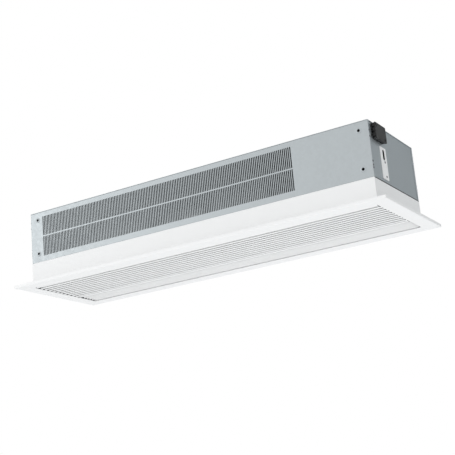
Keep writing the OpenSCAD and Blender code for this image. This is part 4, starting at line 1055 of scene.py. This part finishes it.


# Dark sheets on the fan chamber's ceiling and back that paint the chamber's shade, clear of the scrolls and
# the hanging nuts
def makeLining(s):
    left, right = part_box("left_scroll_sides"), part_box("right_scroll_sides")
    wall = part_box("electrics_partition")[0].x - s["clear"]
    start = s["inset"] - halfLength
    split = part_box("motor_shaft")[0].y - s["ahead"]
    middle = (left[1].x + s["clear"], right[0].x - s["clear"])
    spans = [(start, left[0].x - s["clear"]), middle, (right[1].x + s["clear"], wall)]
    reach = backY - s["inset"]
    ceiling, rear = casingTop - s["gap"], backY - sheet["thickness"] - s["gap"]
    sheets = [(start, -reach, wall, split)] + [(low, split, high, reach) for low, high in spans]
    parts = []
    for lowX, lowY, highX, highY in sheets:
        loops = [rectangle(lowX, lowY, highX, highY, s["corner"])]
        for x, y in topNutSpots:
            if lowX < x < highX and lowY < y < highY:
                loops.append(ring(x, y, s["hole"], 24))
        parts.append(placed(extruded(loops, s["thickness"]), lambda u, v, w: (u, v, ceiling - w)))
    for lowX, highX in spans:
        loop = rectangle(lowX, casingFloor + s["inset"], highX, casingTop - s["inset"], s["corner"])
        parts.append(placed(extruded([loop], s["thickness"]), lambda u, v, w: (u, rear - w, v)))
    asPiece("chamber_shade_lining", joined(parts), ["top_panel"], finish=shadeBlack)


makeLining(chamberShadeLining)

# Nodes that keep their own shape get a small break along their edges
kept = {"edge": 0.15 * mm, "angle": 40, "mostFaces": 6000}
for nodeObject in frame["nodes"].values():
    if not nodeObject.hide_render and len(nodeObject.data.polygons) < kept["mostFaces"]:
        nodeObject.modifiers.new("weld", "WELD").merge_threshold = weld
        edge = nodeObject.modifiers.new("edge", "BEVEL")
        edge.limit_method = "ANGLE"
        edge.angle_limit = math.radians(kept["angle"])
        edge.width = kept["edge"]
        edge.segments = 1
print("stage: kept nodes")

makeCamera(camera)

lamps = {
    "key": {"place": (-2.7, -2.6, 0.9), "aim": (-0.4, 0.0, -0.1), "size": 1.2, "power": 9},
    "fill": {"place": (0.3, -0.3, -2.8), "aim": (0.0, 0.0, -0.2), "size": 2.4, "power": 23},
}


def makeLamp(name, s):
    data = bpy.data.lights.new(name, "AREA")
    data.size = s["size"]
    data.energy = s["power"]
    lamp = bpy.data.objects.new(name, data)
    lamp.location = s["place"]
    lamp.rotation_mode = "QUATERNION"
    lamp.rotation_quaternion = (Vector(s["aim"]) - Vector(s["place"])).to_track_quat("-Z", "Y")
    lamp.visible_camera = False
    bpy.context.scene.collection.objects.link(lamp)


for lampName, lampSettings in lamps.items():
    makeLamp(lampName, lampSettings)

# Room light that is stronger from the front left; a straight or mirrored look at it is white
room = {
    "level": 0.925, "lean": 0.28, "from": (-0.52, -0.83, -0.2), "tint": (0.985, 0.993, 1.0),
    "white": (1, 1, 1),
}


def makeRoom(s):
    bpy.context.scene.view_settings.view_transform = "Standard"
    world = bpy.data.worlds.new("room")
    bpy.context.scene.world = world
    world.use_nodes = True
    tree = world.node_tree
    tree.nodes.clear()
    way = addNode(tree, "ShaderNodeTexCoord", None, "Generated")
    values = {"0": way, "1": s["from"]}
    lean = way.node("ShaderNodeVectorMath", {"operation": "DOT_PRODUCT"}, "Value", **values)
    level = (lean * s["lean"] + 1) * s["level"]
    light = addNode(tree, "ShaderNodeBackground", None, 0, Color=s["tint"], Strength=level)
    white = addNode(tree, "ShaderNodeBackground", None, 0, Color=s["white"])
    straight = addNode(tree, "ShaderNodeLightPath", None, "Is Camera Ray")
    mirrored = addNode(tree, "ShaderNodeLightPath", None, "Is Glossy Ray")
    through = addNode(tree, "ShaderNodeLightPath", None, "Is Transmission Ray")
    seen = straight + mirrored + through
    mixed = addNode(tree, "ShaderNodeMixShader", None, 0, **{"0": seen, "1": light, "2": white})
    output = tree.nodes.new("ShaderNodeOutputWorld")
    tree.links.new(mixed.socket, output.inputs["Surface"])


makeRoom(room)

# Pale floor, and a grey board behind the casing's right end that only the sheet there mirrors
floor = {
    "place": (0, 0, -3.3), "size": 60.0, "seen": True,
    "colour": (0.86, 0.865, 0.87), "cloud": 0.6, "tint": 0.985, "roughness": 0.7, "cloudRough": 0.1,
}
board = {
    "place": (1.7, 1.95, 0.55), "aim": (0.5, 0.0, -0.08), "size": 3.2, "seen": False,
    "colour": (0.5, 0.52, 0.53), "cloud": 0.5, "tint": 0.97, "roughness": 0.8, "cloudRough": 0.1,
}


def makeScreen(name, s, place):
    bm = bmesh.new()
    bmesh.ops.create_grid(bm, x_segments=1, y_segments=1, size=s["size"] / 2)
    mesh = bpy.data.meshes.new(name)
    bm.to_mesh(mesh)
    bm.free()
    obj = bpy.data.objects.new(name, mesh)
    obj.matrix_world = place
    obj.visible_camera = s["seen"]
    bpy.context.scene.collection.objects.link(obj)
    material, tree, spot = startFinish(name + "Paint")
    cloud = grain(spot, s["cloud"])
    colour = blendColours(cloud, tinted(s["colour"], s["tint"]), s["colour"])
    values = {"Base Color": colour, "Roughness": cloud * s["cloudRough"] + s["roughness"]}
    mesh.materials.append(endFinish(material, tree, **values))


makeScreen("floor", floor, Matrix.Translation(floor["place"]))
makeScreen("board", board, aimed(board["place"], Vector(board["aim"]) - Vector(board["place"])))
print("stage: camera, light and floor")
